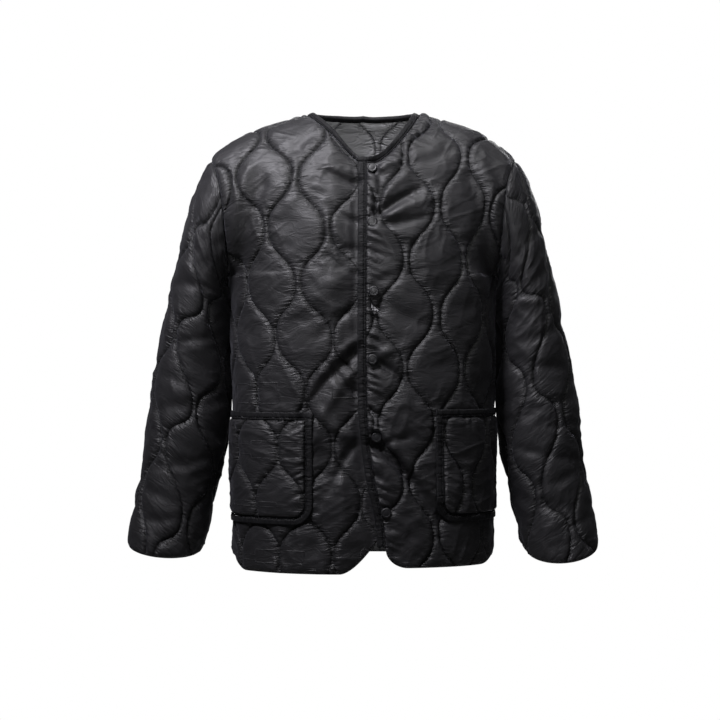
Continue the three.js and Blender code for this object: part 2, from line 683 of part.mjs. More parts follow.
// A snap cap is a low dome with a rolled rim, set square to the cloth.
function snapCap(number, place) {
  const profile = [
    [0, 0],
    [SNAP_RADIUS - 0.6, 0],
    [SNAP_RADIUS, 0.7],
    [SNAP_RADIUS, 1.6],
    [SNAP_RADIUS - 1.1, SNAP_HEIGHT - 0.4],
    [SNAP_RADIUS - 2.4, SNAP_HEIGHT - 0.5],
    [0, SNAP_HEIGHT],
  ].map(([x, y]) => new THREE.Vector2(x, y));
  const geometry = new THREE.LatheGeometry(profile, 20);
  const mesh = new THREE.Mesh(geometry, new THREE.MeshStandardMaterial({ ...SNAP }));
  let row = rowAtHeight(place.height);
  if (row > 0) {
    const full = read(shoulderLine, "across", "height", 0) - CHEST_HEIGHT;
    row = Math.asin((place.height - CHEST_HEIGHT) / full) / (Math.PI / 2);
  }
  const normal = bodyNormal(-1, 1, row, place.across);
  mesh.position.copy(body(-1, 1, row, place.across, place.lift));
  mesh.quaternion.setFromUnitVectors(vector(0, 1, 0), normal);
  mesh.name = "snap_cap_" + number;
  return mesh;
}

const jacket = new THREE.Group();
jacket.name = "quilted_jacket";
jacket.add(panelWall("front_left", frontGrid(1)));
jacket.add(panelWall("front_right", frontGrid(-1)));
jacket.add(panelWall("back", backGrid()));
jacket.add(sleeve("sleeve_left", 1));
jacket.add(sleeve("sleeve_right", -1));
jacket.add(backLining());
jacket.add(neckBinding());
jacket.add(frontEdgeBinding());
for (const pocket of pockets) jacket.add(pocketPanel(pocket), ...pocketBindings(pocket));
snaps.forEach((place, i) => jacket.add(snapCap(i + 1, place)));

export default jacket;
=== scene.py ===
# %% [markdown]
# # A quilted liner jacket
# The jacket is worn and hollow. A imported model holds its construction: two lapped fronts, a back, two sleeves,
# bound edges, pockets and snaps. This lesson gives it its looks: quilted nylon that swells between wavy stitch
# lines, bias bindings, thread, snap caps, and the finish of each. All lengths are in metres.

# %% Load the frame
import math
import bpy
import numpy as np
from functools import partial
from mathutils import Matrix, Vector


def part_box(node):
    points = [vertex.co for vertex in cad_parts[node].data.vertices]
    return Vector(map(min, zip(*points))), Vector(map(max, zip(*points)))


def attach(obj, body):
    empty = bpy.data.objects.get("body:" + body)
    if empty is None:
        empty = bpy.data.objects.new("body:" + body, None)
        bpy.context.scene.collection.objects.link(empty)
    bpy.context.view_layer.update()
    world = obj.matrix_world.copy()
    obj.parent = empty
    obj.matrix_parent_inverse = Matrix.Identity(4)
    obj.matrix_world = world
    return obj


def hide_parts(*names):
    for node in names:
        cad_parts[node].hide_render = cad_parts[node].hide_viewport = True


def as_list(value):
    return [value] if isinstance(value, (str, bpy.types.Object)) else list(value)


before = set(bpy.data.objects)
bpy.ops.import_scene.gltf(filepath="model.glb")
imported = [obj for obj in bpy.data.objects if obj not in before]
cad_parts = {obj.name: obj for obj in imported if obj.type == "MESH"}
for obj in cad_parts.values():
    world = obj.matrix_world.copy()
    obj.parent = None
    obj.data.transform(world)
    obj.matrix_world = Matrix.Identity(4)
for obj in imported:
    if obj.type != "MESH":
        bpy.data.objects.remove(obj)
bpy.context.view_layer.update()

# %% [markdown]
# ## The form under the cloth
# Every piece follows one smooth form, the same that the construction uses. The body is a pile of superellipse
# rings up to the chest; above it the rings lean in towards the shoulder line and open at the armholes. Working
# the form out from named sizes means that a fine mesh lands exactly where the construction has its coarse one.

# %% Sizes of the jacket
MM = 0.001
CLOTH = 5 * MM
BODY_LENGTH = 690 * MM
CHEST_HEIGHT = -250 * MM
CHEST_FRONT = 138 * MM
CHEST_BACK = 128 * MM
SQUARENESS = 2.3
UNDERARM_WIDTH = 201 * MM
SHOULDER_WIDTH = 231 * MM
ARMHOLE_DEPTH = 80 * MM
NECK_WIDTH = 76 * MM
NECK_FRONT_ROW = 0.442
NECK_BACK_ROW = 0.754
BINDING = 9.4 * MM
EDGE_BINDING = 11.6 * MM
UNDERLAP = 24 * MM
UNDERLAP_DROP = 6.8 * MM
HEM_CORNER = 34 * MM
UNDERLAP_CORNER = 78 * MM
UNDERLAP_CORNER_RISE = 85 * MM
UNDERLAP_CORNER_CURVE = 1.6
HEM_SIDE_LIFT = 26 * MM
HEM_SIDE_SPAN = 75 * MM
HEM_BACK_LIFT = 12 * MM
FRONT_NECK_RUN = 356 * MM
BACK_NECK_RUN = 245 * MM
SEAM_GAP = 0.48 * MM
SKIRT = BODY_LENGTH + CHEST_HEIGHT
SKIRT_ROWS, YOKE_ROWS, NECK_ROW, HEM_ROWS, BACK_NECK_ROWS = 10, 10, 14, 3, 4

# Columns: height, half width, depth in front, depth behind.
BODY_SECTIONS = np.array([
    (-700, 195, 134, 131),
    (-640, 195, 135, 128),
    (-550, 195, 136, 122),
    (-450, 196, 138, 118),
    (-350, 198, 140, 121),
    (-290, 199, 139, 125),
    (-250, 201, 138, 128),
]) * MM
# Columns: distance from the centre, height of the shoulder line.
SHOULDER_LINE = np.array([
    (0, 22), (40, 15), (76, 0), (115, -12), (160, -27), (195, -45), (215, -59), (231, -74),
]) * MM
# Columns: height, distance of the left front's edge from the centre.
FRONT_EDGE = np.array([
    (-700, 20), (-650, 18), (-600, 12), (-520, -1), (-440, -8), (-60, -8),
]) * MM
# Columns: inner x, inner z, outer x, outer z, half depth, how far behind the shoulder line.
SLEEVE_SECTIONS = np.array([
    (204, -257, 249, -108, 80, 2),
    (206, -265, 263, -150, 80, 4),
    (207, -276, 275, -200, 79, 6),
    (207, -292, 287, -250, 78, 8),
    (206.5, -318, 297, -298, 77, 9),
    (206, -358, 306, -342, 75, 9),
    (205, -408, 316, -390, 72, 8),
    (205, -457, 323, -438, 69, 6),
    (209, -502, 328, -485, 66, 3),
    (218, -547, 334, -533, 63, 0),
    (228, -592, 342, -579, 60, -4),
    (237, -634, 350, -620, 57, -9),
    (245, -662, 356, -652, 55, -13),
]) * MM
CUFF_DIP = {1: 20 * MM, -1: 12 * MM}

# %% The body's form
HALF = np.s_[::2, ::2]


def smooth(value):
    held = np.clip(value, 0, 1)
    return held * held * (3 - 2 * held)


def mix(a, b, share):
    return a + (b - a) * share


def unit(vectors):
    return vectors / np.linalg.norm(vectors, axis=-1, keepdims=True)


def path_length(points, axis=0):
    """Distance gone along a line of points, or along one axis of a grid of them."""
    gone = np.cumsum(np.linalg.norm(np.diff(points, axis=axis), axis=-1), axis=axis)
    return np.insert(gone, 0, 0, axis=axis)


def follow(places, gone, data):
    """Reads a line of points or directions at these distances along it."""
    return np.stack([np.interp(places, gone, data[:, axis]) for axis in range(3)], axis=1)


def read(table, column, at):
    """Reads a column of a table by its first one, along a smooth curve through the rows."""
    keys, values = table[:, 0], table[:, column]
    last = len(keys) - 1
    place = np.clip(at, keys[0], keys[last])
    row = np.clip(np.searchsorted(keys, place, side="right") - 1, 0, last - 1)
    before, after = np.maximum(np.arange(last + 1) - 1, 0), np.minimum(np.arange(last + 1) + 1, last)
    slopes = (values[after] - values[before]) / (keys[after] - keys[before])
    span = keys[row + 1] - keys[row]
    t = (place - keys[row]) / span
    bend = t * (1 - t) * span
    return mix(values[row], values[row + 1], smooth(t)) + bend * ((1 - t) * slopes[row] - t * slopes[row + 1])


def ring_point(face, row, turn):
    """A point of the smooth body: row -1 is the hem, 0 the chest, 1 the shoulder line; turn 1 is the side."""
    angle = turn * math.pi / 2
    power = 2 / SQUARENESS
    share = np.sin(angle) ** power
    height = CHEST_HEIGHT + np.minimum(row, 0) * SKIRT
    low = np.stack([
        read(BODY_SECTIONS, 1, height) * share,
        face * read(BODY_SECTIONS, 2 if face < 0 else 3, height) * np.maximum(np.cos(angle), 0) ** power,
        height,
    ], axis=-1)
    lift = np.clip(row, 0, 1) * math.pi / 2
    rise = np.sin(lift) ** 2
    flare = SHOULDER_WIDTH - UNDERARM_WIDTH
    across = (UNDERARM_WIDTH + flare * (0.4 * rise + 0.6 * rise ** 4)) * share
    centre = (CHEST_FRONT if face < 0 else CHEST_BACK) * np.cos(lift)
    side = ARMHOLE_DEPTH * np.sin(2 * lift)
    cut = 1 - 0.22 * smooth(row / 0.4)

    def bow(part):
        return np.maximum(1 - part ** SQUARENESS, 0) ** (1 / SQUARENESS)

    curve = (bow(share * cut) - bow(cut)) / (1 - bow(cut))
    climb = np.sin(lift) * mix(1, np.sin(lift), share ** 3)
    top = read(SHOULDER_LINE, 1, across)
    high = np.stack([across, face * (side + (centre - side) * curve), mix(CHEST_HEIGHT, top, climb)], axis=-1)
    return np.where(np.asarray(row)[..., None] <= 0, low, high)


class BodyFace:
    """The front (-1) or back (1) half of one side, tabled by row and by distance along the row."""
    ROWS, STEPS, WAYS = 401, 241, 61

    def __init__(self, face):
        self.face = face
        rows = np.linspace(-1.06, 1, self.ROWS)
        grid_row, grid_turn = np.meshgrid(rows, np.linspace(0, 1, 361), indexing="ij")
        points = ring_point(face, grid_row, grid_turn)
        along = path_length(points, axis=1)
        self.rows, self.length = rows, along[:, -1]
        shares = np.linspace(0, 1, self.STEPS)
        self.points = np.stack([follow(shares * gone[-1], gone, line) for gone, line in zip(along, points)])
        by_row, by_share = np.gradient(self.points, axis=(0, 1))
        normal = np.cross(by_share, by_row) * -face
        flat = np.abs(self.points[..., 1]) < 0.01 * MM
        normal[..., 1] = np.where(flat, 0, normal[..., 1])
        self.normals = normal / np.maximum(np.linalg.norm(normal, axis=2, keepdims=True), 1e-12)

    def _sample(self, grid, row, share):
        i = np.clip((row - self.rows[0]) / (self.rows[1] - self.rows[0]), 0, self.ROWS - 1.0001)
        j = np.clip(share, 0, 1) * (grid.shape[1] - 1) * 0.999999
        i0, j0 = i.astype(int), j.astype(int)
        fi, fj = (i - i0), (j - j0)
        if grid.ndim == 3:
            fi, fj = fi[..., None], fj[..., None]
        upper = mix(grid[i0, j0], grid[i0, j0 + 1], fj)
        lower = mix(grid[i0 + 1, j0], grid[i0 + 1, j0 + 1], fj)
        return mix(upper, lower, fi)

    def reach(self, row):
        return np.interp(row, self.rows, self.length)

    def up_at(self, row, along):
        """Length of cloth from the chest straight up to this place, below 0 under the chest."""
        if not hasattr(self, "ups"):
            self.ways = np.linspace(0, self.length.max(), self.WAYS)
            share = np.minimum(self.ways[None] / self.length[:, None], 1)
            points = self._sample(self.points, np.repeat(self.rows[:, None], self.WAYS, axis=1), share)
            self.ups = path_length(points)
            self.ups -= self.ups[np.abs(self.rows).argmin()]
        return self._sample(self.ups, row, np.abs(along) / self.ways[-1])

    def place(self, side, row, along):
        """Points and outward directions; along may pass the centre, where it is below 0."""
        row, along = np.broadcast_arrays(np.asarray(row, float), np.asarray(along, float))
        share = np.abs(along) / self.reach(row)
        point = self._sample(self.points, row, share)
        normal = unit(self._sample(self.normals, row, share))
        flip = side * np.where(along < 0, -1, 1)
        point[..., 0] *= flip
        normal[..., 0] *= flip
        return point, normal

    def along_at(self, row, across):
        """Distance along a row at which the body is this far from the centre."""
        shares = np.linspace(0, 1, self.STEPS)
        result = []
        for r, x in zip(*np.broadcast_arrays(np.atleast_1d(row), np.atleast_1d(across))):
            line = self._sample(self.points, np.full(self.STEPS, r), shares)[:, 0]
            result.append(math.copysign(np.interp(abs(x), line, shares) * self.reach(r), x))
        return np.array(result)


FRONT, BACK = BodyFace(-1), BodyFace(1)
print("chest is", round(2 * float(FRONT.reach(0) + BACK.reach(0)), 3), "m round")

# %% Where each panel lies on the form
def front_row(number, corner, share):
    """Row of the form by the panel's own row number: one of its rows starts at the corner of the neck."""
    plain = (number - SKIRT_ROWS) / YOKE_ROWS
    split = (NECK_ROW - SKIRT_ROWS) / YOKE_ROWS
    centre = np.where(plain < split, plain * corner / split, 1 - (1 - plain) * (1 - corner) / (1 - split))
    bent = mix(centre, plain, np.sqrt(share))
    return np.where(plain <= 0, plain * YOKE_ROWS / SKIRT_ROWS, bent)


def neck_across(side, number, inset):
    climb = np.clip((number - NECK_ROW) / (SKIRT_ROWS + YOKE_ROWS - NECK_ROW), 0, 1)
    return (NECK_WIDTH + inset) * np.sin(climb * math.pi / 2) ** (0.45 if side > 0 else 0.75)


def front_start(side, height):
    edge = read(FRONT_EDGE, 1, height)
    return edge + EDGE_BINDING + SEAM_GAP if side > 0 else -(edge + UNDERLAP)


def hem_lift(side, from_edge, from_side):
    if side > 0:
        turned = np.clip(HEM_CORNER - from_edge, 0, HEM_CORNER)
        middle = 12 * MM + 0.9 * (HEM_CORNER - np.sqrt(HEM_CORNER ** 2 - turned ** 2))
    else:
        middle = 3 * MM + UNDERLAP_CORNER_RISE * np.clip(1 - from_edge / UNDERLAP_CORNER, 0, 1) ** UNDERLAP_CORNER_CURVE
    return mix(middle, HEM_SIDE_LIFT, smooth((HEM_SIDE_SPAN - from_side) / HEM_SIDE_SPAN))


def front_places(side, numbers, shares):
    """Rows and distances along them for a front panel: numbers up the panel, shares across it."""
    number, share = np.meshgrid(numbers, shares, indexing="ij")
    corner = NECK_FRONT_ROW - BINDING / FRONT_NECK_RUN
    row = front_row(number, corner, share)
    centre_height = ring_point(-1, row, np.zeros_like(row))[..., 2]
    start = front_start(side, np.where(row > 0, centre_height, CHEST_HEIGHT + row * SKIRT))
    high = number > NECK_ROW
    start[high] = FRONT.along_at(row[high], neck_across(side, number[high], BINDING))
    reach = FRONT.reach(row)
    along = mix(start, reach, share)
    low = number < HEM_ROWS
    bottom = -1 + hem_lift(side, along - start, reach - along) / SKIRT
    row = np.where(low, mix(bottom, -1 + HEM_ROWS / SKIRT_ROWS, number / HEM_ROWS), row)
    return row, along


def back_top(part, lowest):
    return 1 - (1 - lowest) * np.maximum(1 - np.abs(part) ** 2.2, 0) ** 0.6


BACK_NECK_SHARE = float(BACK.along_at(1, NECK_WIDTH + BINDING)[0] / BACK.reach(1))


def back_places(numbers, shares):
    """shares run from -1 at the right side seam to 1 at the left one."""
    number, share = np.meshgrid(numbers, shares, indexing="ij")
    row = (number - SKIRT_ROWS) / np.where(number < SKIRT_ROWS, SKIRT_ROWS, YOKE_ROWS)
    bent = SKIRT_ROWS + YOKE_ROWS - BACK_NECK_ROWS
    part = share / BACK_NECK_SHARE
    top = back_top(np.clip(part, -1, 1), NECK_BACK_ROW - BINDING / BACK_NECK_RUN)
    in_neck = (np.abs(part) < 1) & (number > bent)
    row = np.where(in_neck, mix((bent - SKIRT_ROWS) / YOKE_ROWS, top, (number - bent) / BACK_NECK_ROWS), row)
    lifted = mix(HEM_BACK_LIFT, HEM_SIDE_LIFT, smooth((np.abs(share) - 0.6) / 0.4)) / SKIRT
    row = row + np.where(number < HEM_ROWS, lifted * (1 - number / HEM_ROWS), 0)
    return row, share * BACK.reach(row)


def sleeve_points(side, rings, steps):
    """Points of the sleeve: rings from the armhole (0) to the cuff, steps round from the underarm (0 to 20)."""
    ring, step = np.meshgrid(rings, steps, indexing="ij")
    angle = step * math.pi / YOKE_ROWS
    first = []
    for s in steps:
        over = s <= YOKE_ROWS
        face = FRONT if over else BACK
        row = (s if over else 2 * YOKE_ROWS - s) / YOKE_ROWS
        first.append(face.place(1, row, face.reach(row))[0])
    first = np.array(first)
    outward = (1 - np.cos(angle)) / 2
    table = np.column_stack([np.arange(1, len(SLEEVE_SECTIONS) + 1), SLEEVE_SECTIONS])
    cuff = smooth((ring - 8) / (len(SLEEVE_SECTIONS) - 8))
    col = [read(table, c, np.maximum(ring, 1)) for c in range(1, 7)]
    lower = np.stack([
        mix(col[0], col[2], outward),
        col[5] - col[4] * np.sin(angle),
        mix(col[1], col[3], outward) - CUFF_DIP[side] * cuff * np.sin(angle),
    ], axis=-1)
    share = np.clip(ring, 0, 1)[..., None]
    point = mix(np.broadcast_to(first[None], lower.shape), lower, share)
    point[..., :1] += SEAM_GAP * (1 - share)
    point[..., 0] *= side
    return point

# %% [markdown]
# ## Quilting
# The shell, the batting and the lining are sewn together along wavy lines. Neighbouring lines swing in opposite
# directions, so the cloth swells in onion shaped puffs between tight necks. A puff's height follows from its
# distance to the nearest line, and that distance is worked out in the flat cloth: `across` along the weft and
# `up` along the warp, both real lengths on the form.

# %% Stitch lines
WAVE = 18 * MM
REPEAT = 160 * MM
PITCH = 46 * MM


def stitch_lines(first, top, pitch=PITCH, count=7, lean=0.0, wave=WAVE):
    """Describes a set of lines: the first one's place, the height of a puff's centre, their spacing, how many
    they are, how much they draw in towards the hem, and how far they swing."""
    return {"first": first, "top": top, "pitch": pitch, "count": count, "lean": lean, "wave": wave}


def line_place(lines, k, up):
    """Where line k runs across the cloth at these heights, and its slope."""
    angle = 2 * math.pi * (up - lines["top"] + REPEAT / 4) / REPEAT
    sign = 1 if k % 2 else -1
    plain = lines["first"] + k * lines["pitch"]
    narrow = 1 - lines["lean"] * smooth((0.15 - up) / 0.35)
    drift = 3.5 * MM * wander(np.full_like(up, k * 0.37), up, 75 * MM, 17)
    swing = sign * lines["wave"] / math.tanh(1)
    place = plain * narrow + drift + swing * np.tanh(np.sin(angle))
    return place, swing * 2 * math.pi / REPEAT * np.cos(angle) / np.cosh(np.sin(angle)) ** 2


def stitch_offset(lines, across, up):
    """Distance to the nearest line, and between the two lines on either side. The sign of the first changes at
    every line, so it can be read between grid points."""
    nearest = np.full(across.shape, 1.0)
    below, above = np.full(across.shape, 1.0), np.full(across.shape, 1.0)
    for k in range(-1, lines["count"]):
        place, slope = line_place(lines, k, up)
        offset = (across - place) / np.sqrt(1 + slope ** 2) * (1 if k % 2 else -1)
        nearest = np.where(np.abs(offset) < np.abs(nearest), offset, nearest)
        past = across > place
        below = np.where(past, np.minimum(below, np.abs(offset)), below)
        above = np.where(past, above, np.minimum(above, np.abs(offset)))
    return nearest, below + above


def held_by_border(offset, border):
    """Keeps the distance to a line from growing past the distance to the piece's own edge."""
    return np.where(offset < 0, -1, 1) * np.minimum(np.abs(offset), border)


def wander(across, up, size, seed, stretch=1.0):
    """Smooth unevenness between -1 and 1 over the cloth, from a seeded grid of random heights."""
    rng = np.random.default_rng(seed)
    table = rng.uniform(-1, 1, (256, 256))
    x, y = across / (size * stretch) + 60.37, up / size + 90.71
    x0, y0 = np.floor(x).astype(int), np.floor(y).astype(int)
    fx, fy = smooth(x - x0), smooth(y - y0)
    top = mix(table[y0 % 256, x0 % 256], table[y0 % 256, (x0 + 1) % 256], fx)
    low = mix(table[(y0 + 1) % 256, x0 % 256], table[(y0 + 1) % 256, (x0 + 1) % 256], fx)
    return mix(top, low, fy)


# %% [markdown]
# ## Folds
# The large folds come from how the jacket is worn, so they are listed one by one. Each is a soft trough or ridge
# along a line on the front or the back, given by the places of its two ends.

# %% The folds of the body
# Columns: from x, from z, to x, to z, depth, width, bow. Depths below 0 are troughs. All in millimetres.
FRONT_FOLDS = np.array([
    (21, -165, 76, -128, -9, 7, 2),
    (24, -170, 104, -136, 5, 8, 0),
    (16, -158, 23, -106, -6, 6, -3),
    (18, -154, 60, -108, 4, 8, 4),
    (24, -176, 84, -168, -6, 7, -3),
    (20, -180, 76, -196, 4, 8, -4),
    (16, -184, 44, -222, 3, 7, 3),
    (16, -84, 46, -60, -7, 6, 0),
    (24, -98, 56, -82, 4, 6, 2),
    (20, -282, 104, -330, -5, 12, -6),
    (24, -262, 76, -246, -3, 9, 4),
    (24, -300, 52, -352, -3, 9, -3),
    (20, -382, 62, -408, -3, 9, 4),
    (18, -500, 112, -606, -9, 8, 6),
    (26, -486, 100, -576, 5, 10, 6),
    (22, -526, 84, -636, 4, 10, 8),
    (20, -500, 62, -488, -5, 6, 2),
    (22, -380, 74, -432, -6, 7, 5),
    (20, -370, 60, -356, 4, 7, 2),
    (-16, -366, -92, -468, -8, 9, -8),
    (-14, -350, -74, -420, 4, 8, -5),
    (-18, -398, -70, -486, 4, 8, -6),
    (-16, -500, -44, -560, -5, 7, -3),
    (-20, -486, -60, -452, 4, 8, 3),
    (-10, -114, -50, -102, -7, 6, 3),
    (-12, -98, -56, -88, 3, 7, 2),
    (-12, -172, -46, -152, -5, 6, 3),
    (-12, -250, -50, -226, -4, 6, 3),
    (-14, -420, -46, -384, -5, 6, 3),
    (-14, -300, -60, -338, -3, 8, -4),
    (-14, -214, -52, -196, -3, 8, 4),
    (-26, -250, -112, -306, 4, 16, 6),
    (-96, -58, -56, -44, -3, 8, 3),
    (-142, -52, -96, -66, -3, 8, -4),
    (-150, -120, -184, -262, -6, 13, -7),
    (-168, -96, -196, -190, 4, 10, -5),
    (158, -110, 186, -244, -6, 12, 7),
    (176, -92, 198, -176, 4, 10, 5),
    (120, -70, 82, -84, -3, 9, 4),
    (-60, -520, -66, -650, -4, 12, 5),
    (-30, -560, -34, -660, 3, 10, 3),
    (60, -640, 52, -672, -3, 12, 0),
]) * MM
BACK_FOLDS = np.array([
    (-170, -140, -120, -330, -6, 14, 8),
    (172, -150, 130, -320, -6, 15, -9),
    (-186, -120, -150, -270, 4, 11, 6),
    (184, -130, 160, -262, 4, 12, -5),
    (-60, -470, 70, -440, -5, 16, 8),
    (-120, -420, -30, -400, -3, 12, -6),
    (110, -500, 20, -486, -4, 13, 7),
    (-90, -560, -96, -670, -4, 13, -4),
    (84, -548, 92, -664, -4, 12, 5),
    (-40, -60, -92, -110, -3, 11, 4),
    (36, -70, 96, -108, -3, 12, -4),
    (-70, -330, 10, -350, 3, 14, 5),
]) * MM


def fold_height(folds, x, z):
    total = np.zeros_like(x)
    for from_x, from_z, to_x, to_z, depth, width, bow in folds:
        run = np.array([to_x - from_x, to_z - from_z])
        length = np.hypot(*run)
        ahead = run / length
        along = (x - from_x) * ahead[0] + (z - from_z) * ahead[1]
        share = along / length
        off = -(x - from_x) * ahead[1] + (z - from_z) * ahead[0] - bow * np.sin(np.clip(share, 0, 1) * math.pi)
        past = np.maximum(np.maximum(-along, along - length), 0)
        profile = np.exp(-(off / width) ** 2) * np.exp(-(past / (width * 1.5)) ** 2)
        total += depth * profile * (1 - 0.45 * np.clip(share, 0, 1))
    return total


# Centres of the snap caps: distance from the centre and height.
SNAPS = np.array([(12.5, -93), (12.5, -173), (15, -275), (13, -374), (19, -487), (33, -597)]) * MM
SNAP_HOLD = 6.5 * MM


def pressed(x, z, outside):
    """1 where a snap cap holds the cloth down, fading to 0 further out."""
    near = np.min([np.hypot(x - across, z - height) for across, height in SNAPS], axis=0)
    return smooth((outside - near) / (outside - SNAP_HOLD))


def underlap_drop(side, x, z):
    if side > 0:
        return np.zeros_like(x)
    return UNDERLAP_DROP * smooth((x - read(FRONT_EDGE, 1, z) + 40 * MM) / (32 * MM))


def body_base(face, side, row, along, lift=0.0):
    """Points and directions of the body's cloth at its stitch lines: the form, its folds and the underlap."""
    form = FRONT if face < 0 else BACK
    point, normal = form.place(side, row, along)
    x, z = point[..., 0].copy(), point[..., 2].copy()
    reach = form.reach(row)
    fade = smooth((reach - np.abs(along)) / (30 * MM)) * smooth((1 - row) / 0.16)
    folds = fold_height(FRONT_FOLDS if face < 0 else BACK_FOLDS, x, z) * fade
    soft = 1.6 * MM * wander(np.asarray(along) * side, z, 48 * MM, 3 + face) * fade
    high = folds + soft
    if face < 0:
        high = high * (1 - pressed(x, z, 12 * MM)) - underlap_drop(side, x, z)
    high = high + lift
    point += normal * np.asarray(high)[..., None]
    point[..., 1] += face * SEAM_GAP / 2
    return point, normal

# %% [markdown]
# ## From grid to cloth
# A panel is a grid of places. The stitch lines and the borders are held, and the cloth between them is blown up
# from inside with Blender's cloth simulation, cut a little too large so that it wrinkles as batting does. That
# swelling is laid on a grid twice as fine and mixed with a plain one that keeps the puffs' shape. Gathers and
# little ridges are added, each line becomes a crease, and a coarser lining face closes the wall.

# %% Swelling the puffs
PUFF = 5.0 * MM
CREASE = 3.2 * MM
HELD_NEAR = 2.7 * MM
MOST_SWELLING = 10 * MM
PLAIN_SHARE = 0.6
EDGE_ROUND = 3.5 * MM
SIM_FRAMES = 22
CLOTH_SETTINGS = {
    "vertex_group_mass": "held", "quality": 4, "mass": 0.12, "use_pressure": True, "uniform_pressure_force": 3.2,
    "tension_stiffness": 12, "compression_stiffness": 12, "shear_stiffness": 8, "bending_stiffness": 5,
    "shrink_min": -0.02, "air_damping": 3,
}


def plain_puff(distance, across, up, seed):
    uneven = 1 + 0.22 * wander(across, up, 60 * MM, seed)
    return PUFF * (1 - np.exp(-distance / (5 * MM))) * uneven


def link(obj):
    bpy.context.scene.collection.objects.link(obj)
    return obj


def grid_faces(rows, columns, tube, reverse, offset=0):
    index = np.arange(rows * columns).reshape(rows, columns) + offset
    if tube:
        index = np.concatenate([index, index[:, :1]], axis=1)
    quads = np.stack([index[:-1, :-1], index[:-1, 1:], index[1:, 1:], index[1:, :-1]], axis=-1).reshape(-1, 4)
    return quads[:, ::-1] if reverse else quads


def blow_up(points, held, tube, reverse):
    """Runs the cloth simulation on a grid and returns the moved points."""
    rows, columns = points.shape[:2]
    mesh = bpy.data.meshes.new("swelling")
    mesh.from_pydata(points.reshape(-1, 3).tolist(), [], grid_faces(rows, columns, tube, reverse).tolist())
    mesh.update()
    obj = link(bpy.data.objects.new("swelling", mesh))
    group = obj.vertex_groups.new(name="held")
    group.add([int(i) for i in np.flatnonzero(held.ravel())], 1.0, "REPLACE")
    cloth = obj.modifiers.new("cloth", "CLOTH")
    for key, value in CLOTH_SETTINGS.items():
        setattr(cloth.settings, key, value)
    cloth.settings.effector_weights.gravity = 0
    cloth.collision_settings.use_collision = False
    cloth.point_cache.frame_start = 1
    cloth.point_cache.frame_end = SIM_FRAMES
    for number in range(1, SIM_FRAMES + 1):
        bpy.context.scene.frame_set(number)
    shape = obj.evaluated_get(bpy.context.evaluated_depsgraph_get()).data
    moved = np.empty(rows * columns * 3)
    shape.vertices.foreach_get("co", moved)
    bpy.data.objects.remove(obj, do_unlink=True)
    bpy.data.meshes.remove(mesh)
    bpy.context.scene.frame_set(1)
    return moved.reshape(rows, columns, 3)


def refine(grid, tube):
    """Doubles a grid in both directions along smooth curves."""
    def double(a, wrap):
        before, after = np.roll(a, 1, axis=0), np.roll(a, -1, axis=0)
        if not wrap:
            before[0], after[-1] = a[0], a[-1]
        further = np.roll(a, -2, axis=0)
        if not wrap:
            further[-2:] = a[-1]
        middle = (9 * (a + after) - before - further) / 16
        out = np.empty((2 * len(a),) + a.shape[1:])
        out[0::2], out[1::2] = a, middle
        return out if wrap else out[:-1]
    finer = double(grid, False)
    return double(finer.swapaxes(0, 1), tube).swapaxes(0, 1)


def softened(grid, tube, rounds):
    for _ in range(rounds):
        padded = np.pad(grid, ((1, 1), (0, 0), (0, 0)), mode="edge")
        grid = (padded[:-2] + 2 * padded[1:-1] + padded[2:]) / 4
        padded = np.pad(grid, ((0, 0), (1, 1), (0, 0)), mode="wrap" if tube else "edge")
        grid = (padded[:, :-2] + 2 * padded[:, 1:-1] + padded[:, 2:]) / 4
    return grid


def cloth_wall(name, outer, inner, coords, distance, tube, reverse):
    """Closes a fine outer grid and an inner grid of half its density into one mesh with two finishes."""
    (rows, columns), (low_rows, low_columns) = outer.shape[:2], inner.shape[:2]
    count = rows * columns
    faces = grid_faces(rows, columns, tube, reverse).tolist()
    skin = len(faces)
    faces += grid_faces(low_rows, low_columns, tube, not reverse, count).tolist()
    lined = len(faces)

    def rim(fine, coarse, turn):
        for i in range(len(coarse) - 1):
            a, b = coarse[i], coarse[i + 1]
            f = fine[2 * i:2 * i + 3]
            for face in ([f[0], a, f[1]], [f[1], a, b, f[2]]):
                faces.append(face[::-1] if turn else face)

    big = np.arange(count).reshape(rows, columns)
    small = np.arange(low_rows * low_columns).reshape(low_rows, low_columns) + count
    wrap_big = np.concatenate([big, big[:, :1]], axis=1) if tube else big
    wrap_small = np.concatenate([small, small[:, :1]], axis=1) if tube else small
    rim(wrap_big[0].tolist(), wrap_small[0].tolist(), reverse)
    rim(wrap_big[-1].tolist(), wrap_small[-1].tolist(), not reverse)
    if not tube:
        rim(big[:, 0].tolist(), small[:, 0].tolist(), not reverse)
        rim(big[:, -1].tolist(), small[:, -1].tolist(), reverse)
    mesh = bpy.data.meshes.new(name)
    points = np.concatenate([outer.reshape(-1, 3), inner.reshape(-1, 3)])
    mesh.from_pydata(points.tolist(), [], faces)
    materials = np.zeros(len(faces), dtype=np.int32)
    materials[skin:lined] = 1
    mesh.polygons.foreach_set("material_index", materials)
    mesh.polygons.foreach_set("use_smooth", np.ones(len(faces), dtype=bool))
    flat = np.concatenate([coords.reshape(-1, 2), coords[HALF].reshape(-1, 2)])
    corner = np.empty(len(mesh.loops), dtype=np.int32)
    mesh.loops.foreach_get("vertex_index", corner)
    mesh.uv_layers.new(name="cloth").data.foreach_set("uv", flat[corner].ravel())
    seam = mesh.attributes.new("seam", "FLOAT", "POINT")
    seam.data.foreach_set("value", np.concatenate([distance.ravel(), distance[HALF].ravel()]))
    mesh.update()
    print(name, "has", sum(len(f) - 2 for f in faces), "triangles")
    return link(bpy.data.objects.new(name, mesh))

# %% [markdown]
# ## Panels
# Fronts and back are cut from the same quilted cloth. On each the lines run from the shoulder to the hem, and
# they lean a little towards the centre where the worn cloth is drawn in. Under a pocket the quilting lies flat.

